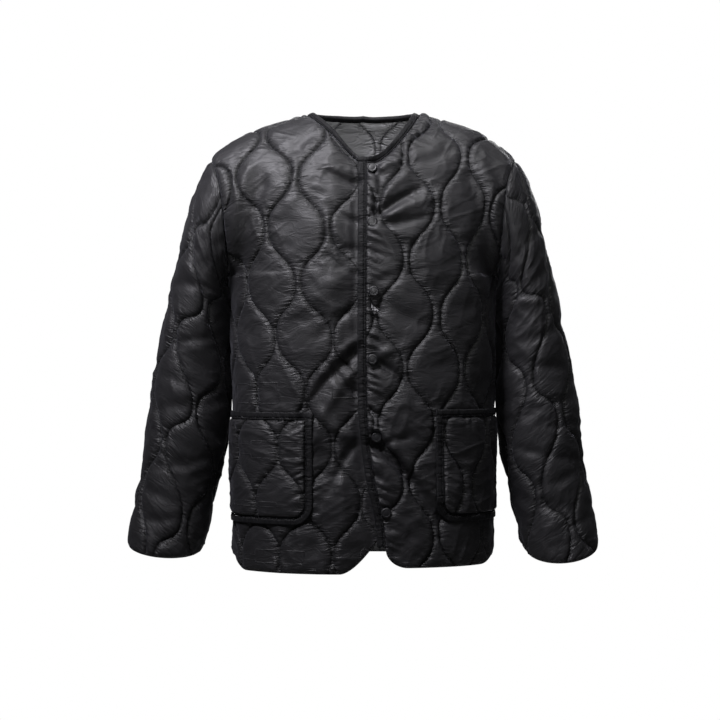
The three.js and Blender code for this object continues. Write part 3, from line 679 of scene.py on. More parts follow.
# %% Density of the grids and the lines of each piece
FINE = 16
FRONT_ACROSS = 123
BACK_ACROSS = 229
LINES = {
    "front_left": stitch_lines(-49 * MM, -59 * MM, 46.5 * MM, lean=0.05, wave=18.5 * MM),
    "front_right": stitch_lines(-72 * MM, -14 * MM, 51 * MM, count=8, lean=0.2, wave=20.5 * MM),
    "back": stitch_lines(-276 * MM, -30 * MM, 46 * MM, count=14),
    "sleeve_left": stitch_lines(-230 * MM, -60 * MM, 46 * MM, count=11),
    "sleeve_right": stitch_lines(-230 * MM, -100 * MM, 46 * MM, count=11),
    "pocket_left": stitch_lines(-3 * MM, 8 * MM, 46 * MM, wave=15 * MM),
}
LINES["pocket_right"] = LINES["front_right"]
# By side: distance of the pocket's inner side from the centre, height of its mouth, height of its bottom.
POCKETS = {1: (105 * MM, -447 * MM, -612 * MM), -1: (73 * MM, -451 * MM, -616 * MM)}


def flat_parts(side, points):
    """1 where a front has no room to swell: under its pocket and where it runs under the other front."""
    inner, mouth, foot = POCKETS[side]
    x, z = points[..., 0], points[..., 2]
    flat = smooth((x * side - inner + 1 * MM) / (7 * MM)) * smooth((z - foot) / (6 * MM))
    flat = flat * smooth((mouth - z) / (6 * MM))
    if side < 0:
        return np.maximum(flat, smooth((x - read(FRONT_EDGE, 1, z) + 13 * MM) / (10 * MM)))
    return np.maximum(flat, pressed(x, z, 13 * MM))


def rounded_edge(border, size=EDGE_ROUND):
    """Height of a turned edge between 0 at the very edge and 1 inside."""
    inside = np.clip(border / size, 0, 1)
    return np.sqrt(1 - (1 - inside) ** 2)


def swell(points, normals, across, up, offset, gap, border, seed, tube, reverse, flat=0.0, pulls=0.0):
    """Blows up the cloth between its lines; returns fine outer points and coarse inner points."""
    seam = np.abs(offset)
    fine_puff = plain_puff(np.minimum(seam, border), across, up, seed) * (1 - flat)
    held = (seam[HALF] < HELD_NEAR) | (border[HALF] < 0.1 * MM)
    if np.ndim(flat):
        held |= flat[HALF] > 0.5
    start = points[HALF] + normals[HALF] * (0.5 * fine_puff[HALF])[..., None]
    free = blow_up(start, held, tube, reverse) - points[HALF]
    free *= np.minimum(1, MOST_SWELLING / np.maximum(np.linalg.norm(free, axis=2, keepdims=True), 1e-9))
    moved = mix(softened(refine(free, tube), tube, 2), normals * fine_puff[..., None], PLAIN_SHARE)
    moved = moved * smooth(0.3 + np.minimum(seam, border) / CREASE)[..., None]
    narrow = smooth((26 * MM - gap) / (14 * MM))
    gather = (0.7 + 1.0 * narrow) * MM * wander(across, up, 4.2 * MM, seed + 40, 4.5) * np.exp(-seam / (9 * MM))
    gather = (gather + crumple(across, up, seed) * (1 - np.exp(-seam / (5 * MM)))) * (1 - flat)
    crease = 1.1 * MM + 1.6 * MM * np.exp(-seam / (2.2 * MM))
    edge = rounded_edge(border)
    high = (gather + pulls - crease * (1 - 0.8 * flat)) * edge - 1.6 * MM * (1 - edge)
    outer = points + moved * edge[..., None] + normals * high[..., None]
    inner_puff = 0.4 * plain_puff(np.minimum(seam, border), across, up, seed + 7)[HALF]
    depth = (3.4 * MM + inner_puff) * edge[HALF] + 4.2 * MM * (1 - edge[HALF])
    return outer, points[HALF] - normals[HALF] * depth[..., None]


def crumple(across, up, seed):
    """Sharp little ridges that cross each other in patches, as thin nylon keeps them over batting."""
    total = np.zeros_like(across)
    for turn, size, height in ((0.35, 17 * MM, 1.3 * MM), (-0.6, 12 * MM, 1.0 * MM), (1.2, 22 * MM, 1.2 * MM)):
        first = across * math.cos(turn) + up * math.sin(turn)
        second = up * math.cos(turn) - across * math.sin(turn)
        ridge = 1 - 2.2 * np.abs(wander(first, second, size, seed + 80 + int(size / MM), 2.4))
        patch = smooth(0.5 + 0.9 * wander(across, up, 55 * MM, seed + 90 + int(size / MM)))
        total += height * np.clip(ridge, 0, 1) ** 1.6 * patch
    return total - 0.5 * MM


# %% Fronts and back
def border_distance(points, open_sides=True):
    """Distance of each grid point to the nearest edge of its panel."""
    def from_edge(a, b):
        return np.linalg.norm(a - b, axis=-1)
    rows = np.minimum(from_edge(points, points[:1]), from_edge(points, points[-1:]))
    if not open_sides:
        return rows
    sides = np.minimum(from_edge(points, points[:, :1]), from_edge(points, points[:, -1:]))
    return np.minimum(rows, sides)


def gathers(across, up, distance, seed, sideways, height):
    """Short folds that start at a sewn edge and fade within two fingers; sideways for an upright edge."""
    slanted = up + 0.45 * across if sideways else up
    first, second = (across, slanted) if sideways else (up, across)
    folds = wander(first, second, 5.2 * MM, seed + 60, 5.0) + 0.5 * wander(first, second, 9 * MM, seed + 61, 3.5)
    return height * folds * np.exp(-np.maximum(distance, 0) / (11 * MM))


pieces, outlines = {}, {}


def quilt(name, points, normals, across, up, border, seed, tube, reverse,
          flat=0.0, pulls=0.0, backing=None, sewn_from=EDGE_ROUND):
    """Makes a piece: the cloth swells between its stitch lines and is closed into a wall."""
    seam, gap = stitch_offset(LINES[name], across, up)
    outer, inner = swell(points, normals, across, up, seam, gap, border, seed, tube, reverse, flat, pulls)
    if backing is not None:
        inner = points[HALF] - normals[HALF] * backing
    coords = np.stack([across, up], axis=-1)
    pieces[name] = cloth_wall(name + "_cloth", outer, inner, coords, held_by_border(seam, border), tube, reverse)
    outlines[name] = (outer, normals, across, up, (border > sewn_from) & (np.asarray(flat) < 0.5))


def make_panel(name, face, side, row, along, seed):
    points, normals = body_base(face, side, row, along)
    up = (FRONT if face < 0 else BACK).up_at(row, along)
    hem = np.linalg.norm(points - points[:1], axis=2)
    flat, pulls = 0.0, gathers(along, up, hem, seed, False, 1.1 * MM)
    if name == "front_left":
        pulls = pulls + gathers(along, up, along - along[:, :1] - 14 * MM, seed + 1, True, 3.2 * MM)
    if face < 0:
        flat = flat_parts(side, points)
        inner_side, mouth, foot = POCKETS[side]
        x, z = points[..., 0] * side, points[..., 2]
        beside = inner_side - x - 1 * MM + 30 * MM * (x > inner_side)
        level = smooth((z - foot) / (20 * MM)) * smooth((mouth - z) / (20 * MM))
        pulls = pulls + gathers(along, up, beside, seed + 2, True, 1.8 * MM) * level * (1 - flat)
    border = border_distance(points)
    quilt(name, points, normals, along, up, border, seed, False, face > 0 or side < 0, flat, pulls)


numbers = np.linspace(0, SKIRT_ROWS + YOKE_ROWS, (SKIRT_ROWS + YOKE_ROWS) * FINE + 1)
for name, side, seed in (("front_left", 1, 11), ("front_right", -1, 23)):
    row, along = front_places(side, numbers, np.linspace(0, 1, FRONT_ACROSS))
    make_panel(name, -1, side, row, along, seed)
row, along = back_places(numbers, np.linspace(-1, 1, BACK_ACROSS))
make_panel("back", 1, 1, row, along, 37)

# %% [markdown]
# ## Sleeves
# A sleeve is one piece of quilted cloth closed by a seam under the arm. It hangs from the armhole, so its rings
# fan out over the shoulder and then follow the arm down to a plain turned cuff. Short shallow folds lie across it,
# closest together where the arm would bend.

# %% Sleeve folds
# Columns: ring, step round the sleeve, half span in steps, depth in mm, width in mm, slant in mm a step.
SLEEVE_FOLDS = {
    "sleeve_left": [
        (2.2, 6, 3.0, -4, 9, 5), (3.6, 7, 3.4, -5, 10, -6), (4.4, 5, 2.6, 4, 9, 4), (5.6, 8, 3.6, -4, 8, -3),
        (6.7, 5, 3.0, -5, 10, 4), (7.3, 8, 2.8, -3, 7, 2), (8.0, 5, 3.6, -5, 9, -3), (8.7, 8, 3.2, -4, 8, 3),
        (9.4, 5, 3.0, -5, 9, 5), (10.1, 7, 3.6, -4, 8, -4), (10.8, 4, 3.0, -4, 8, 3), (11.5, 8, 3.4, -3, 7, -2),
        (3.0, 14, 3.2, -5, 10, 5), (5.2, 15, 3.4, -4, 9, -4), (6.9, 14, 3.0, -5, 9, 3), (8.4, 15, 3.4, -4, 8, -4),
        (9.8, 14, 3.0, -4, 8, 3), (11.2, 15, 3.2, -3, 8, -3),
    ],
    "sleeve_right": [
        (2.4, 7, 3.2, -4, 10, -5), (3.8, 5, 3.0, -5, 10, 6), (4.9, 7, 2.6, 4, 10, -5), (5.9, 5, 3.2, -4, 9, 5),
        (7.0, 8, 3.4, -4, 9, -4), (7.9, 5, 3.4, -5, 10, 4), (8.9, 7, 2.8, -3, 8, -5), (9.7, 5, 3.2, -4, 9, 4),
        (10.6, 8, 3.4, -4, 8, -3), (11.4, 5, 2.8, -3, 8, 3), (2.8, 14, 3.2, -5, 10, -5), (4.8, 15, 3.2, -4, 9, 4),
        (6.6, 14, 3.4, -5, 9, -3), (8.2, 15, 3.0, -4, 8, 4), (9.9, 14, 3.2, -4, 8, -4), (11.3, 14, 3.0, -3, 8, 3),
    ],
}
RING_GAP = 44 * MM
SLEEVE_FOLD_SHARE = 0.45


def make_sleeve(name, side, seed):
    last = len(SLEEVE_SECTIONS)
    rings = np.linspace(0, last, last * FINE + 1)
    steps = np.arange(0, 2 * YOKE_ROWS, 1 / 9)
    points = sleeve_points(side, rings, steps)
    around = np.roll(points, -1, axis=1) - np.roll(points, 1, axis=1)
    down = np.gradient(points, axis=0)
    normals = unit(np.cross(around, down) * -side)
    across = path_length(points, axis=1)
    whole = across[:, -1:] + np.linalg.norm(points[:, :1] - points[:, -1:], axis=2)
    top = np.abs(steps - YOKE_ROWS).argmin()
    across = across - across[:, top:top + 1]
    up = -path_length(points)
    up = mix(up[:, top:top + 1], up, 0.35)
    ring, step = np.meshgrid(rings, steps, indexing="ij")
    fade = smooth(ring / 1.2) * smooth((last - ring) / 0.8)
    high = 1.2 * MM * wander(across, up, 26 * MM, seed, 2.6)
    for at_ring, at_step, span, depth, width, slant in SLEEVE_FOLDS[name]:
        turn = (step - at_step + YOKE_ROWS) % (2 * YOKE_ROWS) - YOKE_ROWS
        off = (ring - at_ring) * RING_GAP - slant * MM * turn
        high = high + SLEEVE_FOLD_SHARE * depth * MM * np.exp(-(off / (width * MM)) ** 2) * np.exp(-(turn / span) ** 2)
    base = points + normals * (high * fade)[..., None]
    under = np.minimum(np.abs(across - across[:, :1]), np.abs(across[:, :1] + whole - across))
    border = border_distance(base, open_sides=False)
    base -= normals * (1.2 * MM * np.exp(-under / (1.5 * MM)))[..., None]
    drawn_in = smooth((ring - 2) / 1.5) * smooth((8.5 - ring) / 1.5) * np.exp(-under / (40 * MM))
    base[..., 0] -= side * 5.0 * MM * drawn_in
    quilt(name, base, normals, across, up, border, seed, True, side > 0)


make_sleeve("sleeve_left", 1, 51)
make_sleeve("sleeve_right", -1, 67)

# %% [markdown]
# ## Bindings
# A bias strip is folded over each raw edge and sewn through with one row of stitches. It is a little fuller than
# the edge it covers, so it puckers between the stitches. Here it is a narrow grid with a rounded section, and
# the puckers are small seeded waves that grow towards the row of stitches.

# %% A strip of bias cloth
ACROSS_STRIP = np.array([0, 0.025, 0.07, 0.14, 0.24, 0.36, 0.5, 0.64, 0.75, 0.84, 0.91, 0.97, 1])
STITCH_COLUMN = 9
STITCH_ROW = ACROSS_STRIP[STITCH_COLUMN]
BINDING_PROUD = 0.6 * MM
STRIP_STEP = 1.3 * MM
strip_rows = {}


def even_rows(curves, normals, spacing):
    """Resamples the curves of a strip at an even spacing along its middle one."""
    gone = path_length(curves[:, curves.shape[1] // 2])
    count = 2 * int(gone[-1] / spacing / 2) + 1
    at = np.interp(np.linspace(0, gone[-1], count), gone, np.arange(len(gone)))
    low = np.minimum(at.astype(int), len(gone) - 2)
    share = (at - low)[:, None, None]
    return mix(curves[low], curves[low + 1], share), unit(mix(normals[low], normals[low + 1], share))


def make_strip(name, curves, normals, width, proud, thickness, seed, reverse):
    points, way = even_rows(curves, normals, STRIP_STEP)
    along = path_length(points[:, len(ACROSS_STRIP) // 2])
    share, length = np.meshgrid(ACROSS_STRIP, along)
    edge = np.sqrt(1 - (1 - np.clip(share / 0.16, 0, 1)) ** 2)
    section = (0.1 + 0.9 * edge) * (1 - 0.16 * smooth((share - 0.75) / 0.25))
    groove = 0.8 * MM * np.exp(-((share - STITCH_ROW) * width / (0.9 * MM)) ** 2)
    pucker = 0.62 * MM * wander(share * width, length, 3.1 * MM, seed, 3.0) * (0.25 + 0.75 * share) * edge
    wave = 0.5 * MM * wander(length * 0, length, 21 * MM, seed + 1)
    middle = proud - thickness / 2
    high = middle + thickness / 2 * section + pucker - groove + wave
    low = middle - thickness / 2 * section + 0.4 * pucker + wave
    outer = points + way * high[..., None]
    inner = (points + way * low[..., None])[HALF]
    coords = np.stack([share * width, length], axis=-1)
    pieces[name] = cloth_wall(
        name + "_cloth", outer, inner, coords, np.abs(share - STITCH_ROW) * width, False, reverse
    )
    strip_rows[name] = (outer[:, STITCH_COLUMN], way[:, STITCH_COLUMN])
    return along[-1]


# %% Neck and front edge
def neck_curves():
    climb = NECK_ROW + (SKIRT_ROWS + YOKE_ROWS - NECK_ROW) * np.linspace(0, 1, 160)[1:] ** 2.4
    even = np.linspace(0, 1, 260)
    part = np.linspace(-1, 1, 161)[1:-1]
    edge = float(read(FRONT_EDGE, 1, ring_point(-1, np.array([NECK_FRONT_ROW]), np.zeros(1))[0, 2]))
    starts = {1: np.linspace(edge, edge + EDGE_BINDING + SEAM_GAP, 8), -1: np.array([-(edge + UNDERLAP)])}
    points, normals = [], []
    for share in ACROSS_STRIP:
        inset = (BINDING - 1.5 * SEAM_GAP) * share
        corner = NECK_FRONT_ROW - inset / FRONT_NECK_RUN
        low_row = front_row(np.array([float(NECK_ROW)]), corner, np.zeros(1))
        halves = []
        for side in (-1, 1):
            first = starts[side]
            row = front_row(climb, corner, np.zeros_like(climb))
            along = FRONT.along_at(row, neck_across(side, climb, inset))
            if side > 0:
                keep = along > first[-1]
                row, along = row[keep], along[keep]
            row = np.concatenate([np.repeat(low_row, len(first)), row])
            spot, way = body_base(-1, side, row, np.concatenate([first, along]))
            gone = path_length(spot)
            halves.append([follow(even, gone / gone[-1], data) for data in (spot, way)])
        neck_share = float(BACK.along_at(1, NECK_WIDTH + inset)[0] / BACK.reach(1))
        row = back_top(part, NECK_BACK_ROW - inset / BACK_NECK_RUN)
        back = body_base(1, 1, row, part * neck_share * BACK.reach(row))
        for kept, right, middle, left in zip((points, normals), halves[0], back, halves[1]):
            kept.append(np.concatenate([right, middle, left[::-1]]))
    return np.stack(points, axis=1), np.stack(normals, axis=1)


def edge_curves():
    number = np.linspace(0, NECK_ROW, 400)
    row, along = front_places(1, number, np.array([0.0]))
    row, along = row[:, 0], along[:, 0] - SEAM_GAP
    share = ACROSS_STRIP[None]
    in_hem = (row < -1 + 1 / SKIRT_ROWS)[:, None]
    fade = smooth((-1 + 1 / SKIRT_ROWS - row) * SKIRT_ROWS * 2)[:, None]
    lift = np.where(in_hem, HEM_CORNER * 0.12 * (1 - share) / SKIRT, 0) * fade
    return body_base(-1, 1, row[:, None] + lift, along[:, None] - EDGE_BINDING * (1 - share))


wall = CLOTH + 2 * BINDING_PROUD
neck_length = make_strip("neck_binding", *neck_curves(), BINDING, BINDING_PROUD, wall, 81, True)
edge_length = make_strip("front_edge_binding", *edge_curves(), EDGE_BINDING, BINDING_PROUD, wall, 83, False)
print("neck binding", round(neck_length, 3), "m, front edge binding", round(edge_length, 3), "m")

# %% [markdown]
# ## Pockets
# Each patch pocket is a flat quilted piece sewn on the front. One binding closes its mouth, another runs down its
# inner side, round the corner and along the bottom. The fourth side is caught in the side seam.

# %% Pocket panels
POCKET_CORNER = 30 * MM
POCKET_LIFT = 1.4 * MM
POCKET_CLOTH = 4 * MM
POCKET_BINDING = 10.5 * MM
POCKET_END = 4 * MM


def row_at(height):
    return (height - CHEST_HEIGHT) / SKIRT


def make_pocket(name, side, seed):
    inner_side, mouth, foot = POCKETS[side]
    inset = POCKET_BINDING + 2 * SEAM_GAP
    up, across = np.meshgrid(np.linspace(0, 1, 81), np.linspace(0, 1, 61), indexing="ij")
    height = mix(foot + inset, mouth - inset, up)
    radius = POCKET_CORNER - inset
    rise = np.clip(radius - (height - foot - inset), 0, radius)
    cut = radius - np.sqrt(radius ** 2 - rise ** 2)
    row = row_at(height)
    start = FRONT.along_at(row[:, 0], np.full(len(row), inner_side))[:, None] + inset
    along = mix(start + cut, FRONT.reach(row) - POCKET_END, across)
    points, normals = body_base(-1, side, row, along, POCKET_LIFT + POCKET_CLOTH)
    rising = height - CHEST_HEIGHT
    pulls = gathers(along, rising, along - along[:, :1] - 11 * MM, seed, True, 1.4 * MM)
    pulls = pulls + gathers(along, rising, mouth - inset - height - 9 * MM, seed + 1, False, 1.6 * MM)
    border = border_distance(points)
    quilt("pocket_" + name, points, normals, along, rising, border, seed, False, side < 0,
          pulls=pulls, backing=3.6 * MM, sewn_from=3 * MM)


def pocket_edges(side):
    """Curves of the mouth binding and of the side binding, from their free edge to their sewn one."""
    inner_side, mouth, foot = POCKETS[side]
    part, share = np.meshgrid(np.linspace(0, 1, 120), ACROSS_STRIP, indexing="ij")
    row = row_at(mouth - share * POCKET_BINDING)
    start = FRONT.along_at(row[0], np.full(row.shape[1], inner_side))[None]
    mouth_curves = body_base(-1, side, row, mix(start, FRONT.reach(row) - POCKET_END, part))
    base = float(FRONT.along_at(row_at(mouth), inner_side)[0])
    end = float(FRONT.reach(row_at(foot))) - POCKET_END
    lines = []
    for inset in ACROSS_STRIP * POCKET_BINDING:
        radius = POCKET_CORNER - inset
        down = np.linspace(mouth - POCKET_BINDING - SEAM_GAP, foot + POCKET_CORNER, 90)[:-1]
        angle = np.linspace(0, math.pi / 2, 50)
        out = np.linspace(base + POCKET_CORNER, end, 90)[1:]
        turn = np.stack([-np.cos(angle), -np.sin(angle)], axis=1) * radius
        lines.append(np.concatenate([
            np.stack([np.full(len(down), base + inset), down], axis=1),
            np.array([base + POCKET_CORNER, foot + POCKET_CORNER]) + turn,
            np.stack([out, np.full(len(out), foot + inset)], axis=1),
        ]))
    places = np.stack(lines, axis=1)
    return mouth_curves, body_base(-1, side, row_at(places[..., 1]), places[..., 0])


# %% Pockets and their bindings
proud = POCKET_LIFT + POCKET_CLOTH + 0.1 * MM
for name, side, seed in (("left", 1, 91), ("right", -1, 97)):
    make_pocket(name, side, seed)
    for place, curves, turned in zip(("top", "side"), pocket_edges(side), (side < 0, side > 0)):
        seed += 1
        make_strip(f"pocket_{place}_binding_{name}", *curves, POCKET_BINDING, proud, POCKET_CLOTH, seed, turned)

# %% [markdown]
# ## Lining of the back neck
# The lining shows inside the back of the neck. It is quilted through with the shell, so it is a thin skin that
# swells inwards between the same stitch lines.

# %% The lining
numbers = np.linspace(SKIRT_ROWS + 3, SKIRT_ROWS + YOKE_ROWS, 7 * FINE + 1)
row, along = back_places(numbers, np.linspace(-BACK_NECK_SHARE, BACK_NECK_SHARE, 81))
points, normals = body_base(1, 1, row, along)
up = BACK.up_at(row, along)
seam, gap = stitch_offset(LINES["back"], along, up)
border = border_distance(points)
puff = 0.4 * plain_puff(np.minimum(np.abs(seam), border), along, up, 37 + 7) * rounded_edge(border, 6 * MM)
depth = 4.6 * MM + puff - 0.5 * MM * wander(along, up, 6 * MM, 5, 3.0)
outer, inner = points - normals * (depth + 0.7 * MM)[..., None], (points - normals * depth[..., None])[HALF]
pieces["back_lining"] = cloth_wall(
    "back_lining_cloth", outer, inner, np.stack([along, up], axis=-1), seam, False, False
)

# %% [markdown]
# ## Snaps
# The closure is a row of ring snaps with enamelled caps. A cap is a pressed disc with a rolled rim and a low dome.
# One is modelled from a cylinder, then copied to each place and turned square to the cloth there.

# %% One snap cap
bpy.ops.object.select_all(action="DESELECT")
bpy.ops.mesh.primitive_cylinder_add(vertices=48, radius=7.5 * MM, depth=1.6 * MM, location=(0, 0, 0.8 * MM))
master = bpy.context.object
bpy.ops.object.mode_set(mode="EDIT")
bpy.ops.mesh.select_all(action="DESELECT")
bpy.ops.object.mode_set(mode="OBJECT")
for face in master.data.polygons:
    face.select = face.normal.z > 0.9
bpy.ops.object.mode_set(mode="EDIT")
for inward, rise in ((1.1, 1.2), (0.9, 0.05), (0.8, -0.35), (1.2, 0.25), (1.5, 0.2), (1.2, 0.05)):
    bpy.ops.mesh.inset(thickness=inward * MM)
    bpy.ops.transform.translate(value=(0, 0, rise * MM))
bpy.ops.object.mode_set(mode="OBJECT")
bevel = master.modifiers.new("bevel", "BEVEL")
bevel.width, bevel.segments, bevel.limit_method, bevel.angle_limit = 0.4 * MM, 3, "ANGLE", math.radians(20)
bpy.ops.object.modifier_apply(modifier="bevel")
bpy.ops.object.shade_smooth_by_angle(angle=math.radians(35))
print("a snap cap has", len(master.data.polygons), "faces")

# %% Snap caps in place
for number, (across, height) in enumerate(SNAPS, start=1):
    low, high = (np.array(corner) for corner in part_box(f"snap_cap_{number}"))
    row = row_at(height)
    if row > 0:
        row = math.asin((height - CHEST_HEIGHT) / (0.022 - CHEST_HEIGHT)) / (math.pi / 2)
    normal = Vector(FRONT.place(1, row, across)[1])
    cap = master.data.copy()
    cap.name = f"snap_{number}"
    turn = Vector((0, 0, 1)).rotation_difference(normal).to_matrix().to_4x4()
    cap.transform(turn)
    corners = np.array([v.co[:] for v in cap.vertices])
    shift = (low + high) / 2 - (corners.min(axis=0) + corners.max(axis=0)) / 2
    for v in cap.vertices:
        v.co += Vector(shift)
    pieces[f"snap_cap_{number}"] = link(bpy.data.objects.new(f"snap_{number}", cap))
bpy.data.objects.remove(master, do_unlink=True)

# %% [markdown]
# ## Thread
# Every quilting line and every binding is sewn with black thread. A stitch is about 3 mm long and dives into the
# cloth at both ends. All the stitches of one piece are one mesh.

# %% Stitches along a line
STITCH = 3.0 * MM
STITCH_STEP = 4.2 * MM
THREAD = 0.27 * MM


def stitches(points, normals):
    """Corner points of the stitches along one line: two tips and two square rings each."""
    gone = path_length(points)
    centres = np.arange(STITCH_STEP, gone[-1] - STITCH_STEP / 2, STITCH_STEP)
    if len(centres) == 0:
        return np.zeros((0, 10, 3))
    up = follow(centres, gone, normals)
    first, last = (follow(centres + end, gone, points) for end in (-STITCH / 2, STITCH / 2))
    side = unit(np.cross(last - first, up))
    rings = [(first - up * 0.35 * MM)[:, None]]
    for offset in (-0.28 * STITCH, 0.28 * STITCH):
        middle = follow(centres + offset, gone, points) + up * 0.16 * MM
        rings.append(np.stack([middle + arm * THREAD for arm in (up, side, -up, -side)], axis=1))
    rings.append((last - up * 0.35 * MM)[:, None])
    return np.concatenate(rings, axis=1)


STITCH_FACES = [(0, 2, 1), (0, 3, 2), (0, 4, 3), (0, 1, 4), (1, 2, 6, 5), (2, 3, 7, 6), (3, 4, 8, 7), (4, 1, 5, 8),
                (9, 5, 6), (9, 6, 7), (9, 7, 8), (9, 8, 5)]


def quilting_runs(name):
    """The stitch lines of a piece as runs of points on its outer face."""
    outer, normals, across, up, open_cloth = outlines[name]
    for k in range(-1, LINES[name]["count"]):
        off = across - line_place(LINES[name], k, up)[0]
        crossing = (off[:, :-1] <= 0) & (off[:, 1:] > 0)
        rows = np.flatnonzero(crossing.any(axis=1))
        columns = crossing.argmax(axis=1)[rows]
        share = (-off[rows, columns] / (off[rows, columns + 1] - off[rows, columns]))[:, None]
        points = mix(outer[rows, columns], outer[rows, columns + 1], share)
        fits = open_cloth[rows, columns]
        breaks = np.flatnonzero((np.diff(rows) > 1) | ~(fits[:-1] & fits[1:])) + 1
        for part in np.split(np.arange(len(rows)), breaks):
            if len(part) > 4 and fits[part].all():
                yield points[part], normals[rows[part], columns[part]]


def sew(name, runs):
    corners = np.concatenate([stitches(*run) for run in runs])
    starts = np.arange(len(corners)) * 10
    faces = [tuple(start + i for i in face) for start in starts.tolist() for face in STITCH_FACES]
    mesh = bpy.data.meshes.new(name)
    mesh.from_pydata(corners.reshape(-1, 3).tolist(), [], faces)
    mesh.update()
    pieces[name] = link(bpy.data.objects.new(name, mesh))
    print(name, "has", len(corners), "stitches")


# %% All the seams
threads = {}
for name in list(outlines):
    threads[name] = "thread_" + name
    sew(threads[name], list(quilting_runs(name)))
for name, run in strip_rows.items():
    threads[name] = "thread_" + name
    sew(threads[name], [run])

# %% [markdown]
# ## Finishes
# The shell is thin black nylon taffeta: a fine plain weave, calendered to a soft sheen, crinkled all over by the
# quilting. The lining is the same cloth in grey. The bindings are a matt twill tape, the caps are enamelled, and
# the thread is bonded polyester. What they share, weave, crinkle, and dye with painted shade along the stitch creases,
# are node groups.

# %% Helpers for node groups
def new_group(name, inputs, outputs):
    group = bpy.data.node_groups.new(name, "ShaderNodeTree")
    for label, kind, value in inputs:
        socket = group.interface.new_socket(label, in_out="INPUT", socket_type=kind)
        if value is not None:
            socket.default_value = value
    for label, kind in outputs:
        group.interface.new_socket(label, in_out="OUTPUT", socket_type=kind)
    return group, group.nodes.new("NodeGroupInput"), group.nodes.new("NodeGroupOutput")


def add(tree, kind, inputs=(), **settings):
    """Adds a node. Each input is given a value or, where it is a socket, a link to it."""
    node = tree.nodes.new(kind)
    for key, value in settings.items():
        setattr(node, key, value)
    for key, value in dict(inputs).items():
        if isinstance(value, bpy.types.NodeSocket):
            tree.links.new(value, node.inputs[key])
        else:
            node.inputs[key].default_value = value
    return node


def math_node(tree, operation, *values, clamp=False):
    return add(tree, "ShaderNodeMath", enumerate(values), operation=operation, use_clamp=clamp).outputs[0]


FLOAT, VECTOR = "NodeSocketFloat", "NodeSocketVector"


# %% Weave: threads over and under, at their real count
def weave_group():
    inputs = [("Vector", VECTOR, None), ("Threads", FLOAT, 2500.0)]
    group, given, result = new_group("weave", inputs, [("Height", FLOAT)])
    calc = partial(math_node, group)
    parts = add(group, "ShaderNodeSeparateXYZ", {0: given.outputs["Vector"]})
    waves = []
    for axis in (0, 1):
        turned = calc("MULTIPLY", parts.outputs[axis], given.outputs["Threads"])
        waves.append(calc("SINE", calc("MULTIPLY", turned, math.pi)))
    group.links.new(calc("MULTIPLY", calc("MULTIPLY", *waves), 0.5), result.inputs["Height"])
    return group


# %% Crinkle: the cloth gathers along the stitches and wrinkles between them
def crinkle_group():
    inputs = [("Vector", VECTOR, None), ("Seam", FLOAT, 0.01)]
    group, given, result = new_group("crinkle", inputs, [("Height", FLOAT), ("Line", FLOAT)])
    calc = partial(math_node, group)

    def ridges(scale, stretch, detail, distortion):
        mapping = add(group, "ShaderNodeMapping", {"Scale": stretch, "Vector": given.outputs["Vector"]})
        look = {"Scale": scale, "Detail": detail, "Roughness": 0.55, "Distortion": distortion}
        look["Vector"] = mapping.outputs[0]
        texture = add(group, "ShaderNodeTexNoise", look, noise_dimensions="2D")
        away = calc("ABSOLUTE", calc("SUBTRACT", texture.outputs[0], 0.5))
        return calc("SUBTRACT", 1.0, calc("MULTIPLY", away, 4.0), clamp=True)

    away_from_line = calc("ABSOLUTE", given.outputs["Seam"])
    near, line = (calc("POWER", 2.718, calc("MULTIPLY", away_from_line, rate)) for rate in (-130.0, -950.0))
    gathered = calc("MULTIPLY", ridges(95.0, (0.34, 1.6, 1), 2.0, 0.6), near)
    broad = ridges(46.0, (0.55, 1.25, 1), 3.0, 1.2)
    small = ridges(150.0, (0.8, 1.0, 1), 2.0, 0.8)
    total = calc("ADD", calc("MULTIPLY", gathered, 1.35), calc("MULTIPLY", broad, 0.26))
    total = calc("SUBTRACT", calc("ADD", total, calc("MULTIPLY", small, 0.05)), line)
    group.links.new(total, result.inputs["Height"])
    group.links.new(line, result.inputs["Line"])
    return group


# %% Dye and painted shade: slow changes of depth, rubbed high places, and painted shade darkening the stitch creases
def dye_and_crease_shade_group():
    inputs = [("Vector", VECTOR, None), ("Painted crease shade", FLOAT, 0.0)]
    group, given, result = new_group("dye_and_crease_shade", inputs, [("Shade", FLOAT), ("Rub", FLOAT)])
    calc = partial(math_node, group)

    def clouds(scale, detail):
        look = {"Vector": given.outputs["Vector"], "Scale": scale, "Detail": detail}
        return add(group, "ShaderNodeTexNoise", look).outputs[0]

    slow, fine = clouds(9.0, 4.0), clouds(70.0, 3.0)
    both = calc("ADD", calc("MULTIPLY", slow, 0.7), calc("MULTIPLY", fine, 0.3))
    # Painted shade: near a stitch line the random tone fades out and the colour is pushed to the dark end, as shade in
    # the crease.
    open_cloth = calc("SUBTRACT", 1.0, given.outputs["Painted crease shade"], clamp=True)
    painted_crease_shade = calc("MULTIPLY", given.outputs["Painted crease shade"], 0.8)
    group.links.new(calc("SUBTRACT", calc("MULTIPLY", both, open_cloth), painted_crease_shade), result.inputs["Shade"])
    group.links.new(calc("MULTIPLY", fine, open_cloth), result.inputs["Rub"])
    return group


WEAVE, CRINKLE, DYE_AND_CREASE_SHADE = weave_group(), crinkle_group(), dye_and_crease_shade_group()


# %% What every finish has
def new_finish(name):
    material = bpy.data.materials.new(name)
    material.use_nodes = True
    tree = material.node_tree
    return material, tree, add(tree, "ShaderNodeTexCoord").outputs["Object"]


def bump(tree, **inputs):
    return add(tree, "ShaderNodeBump", inputs).outputs[0]


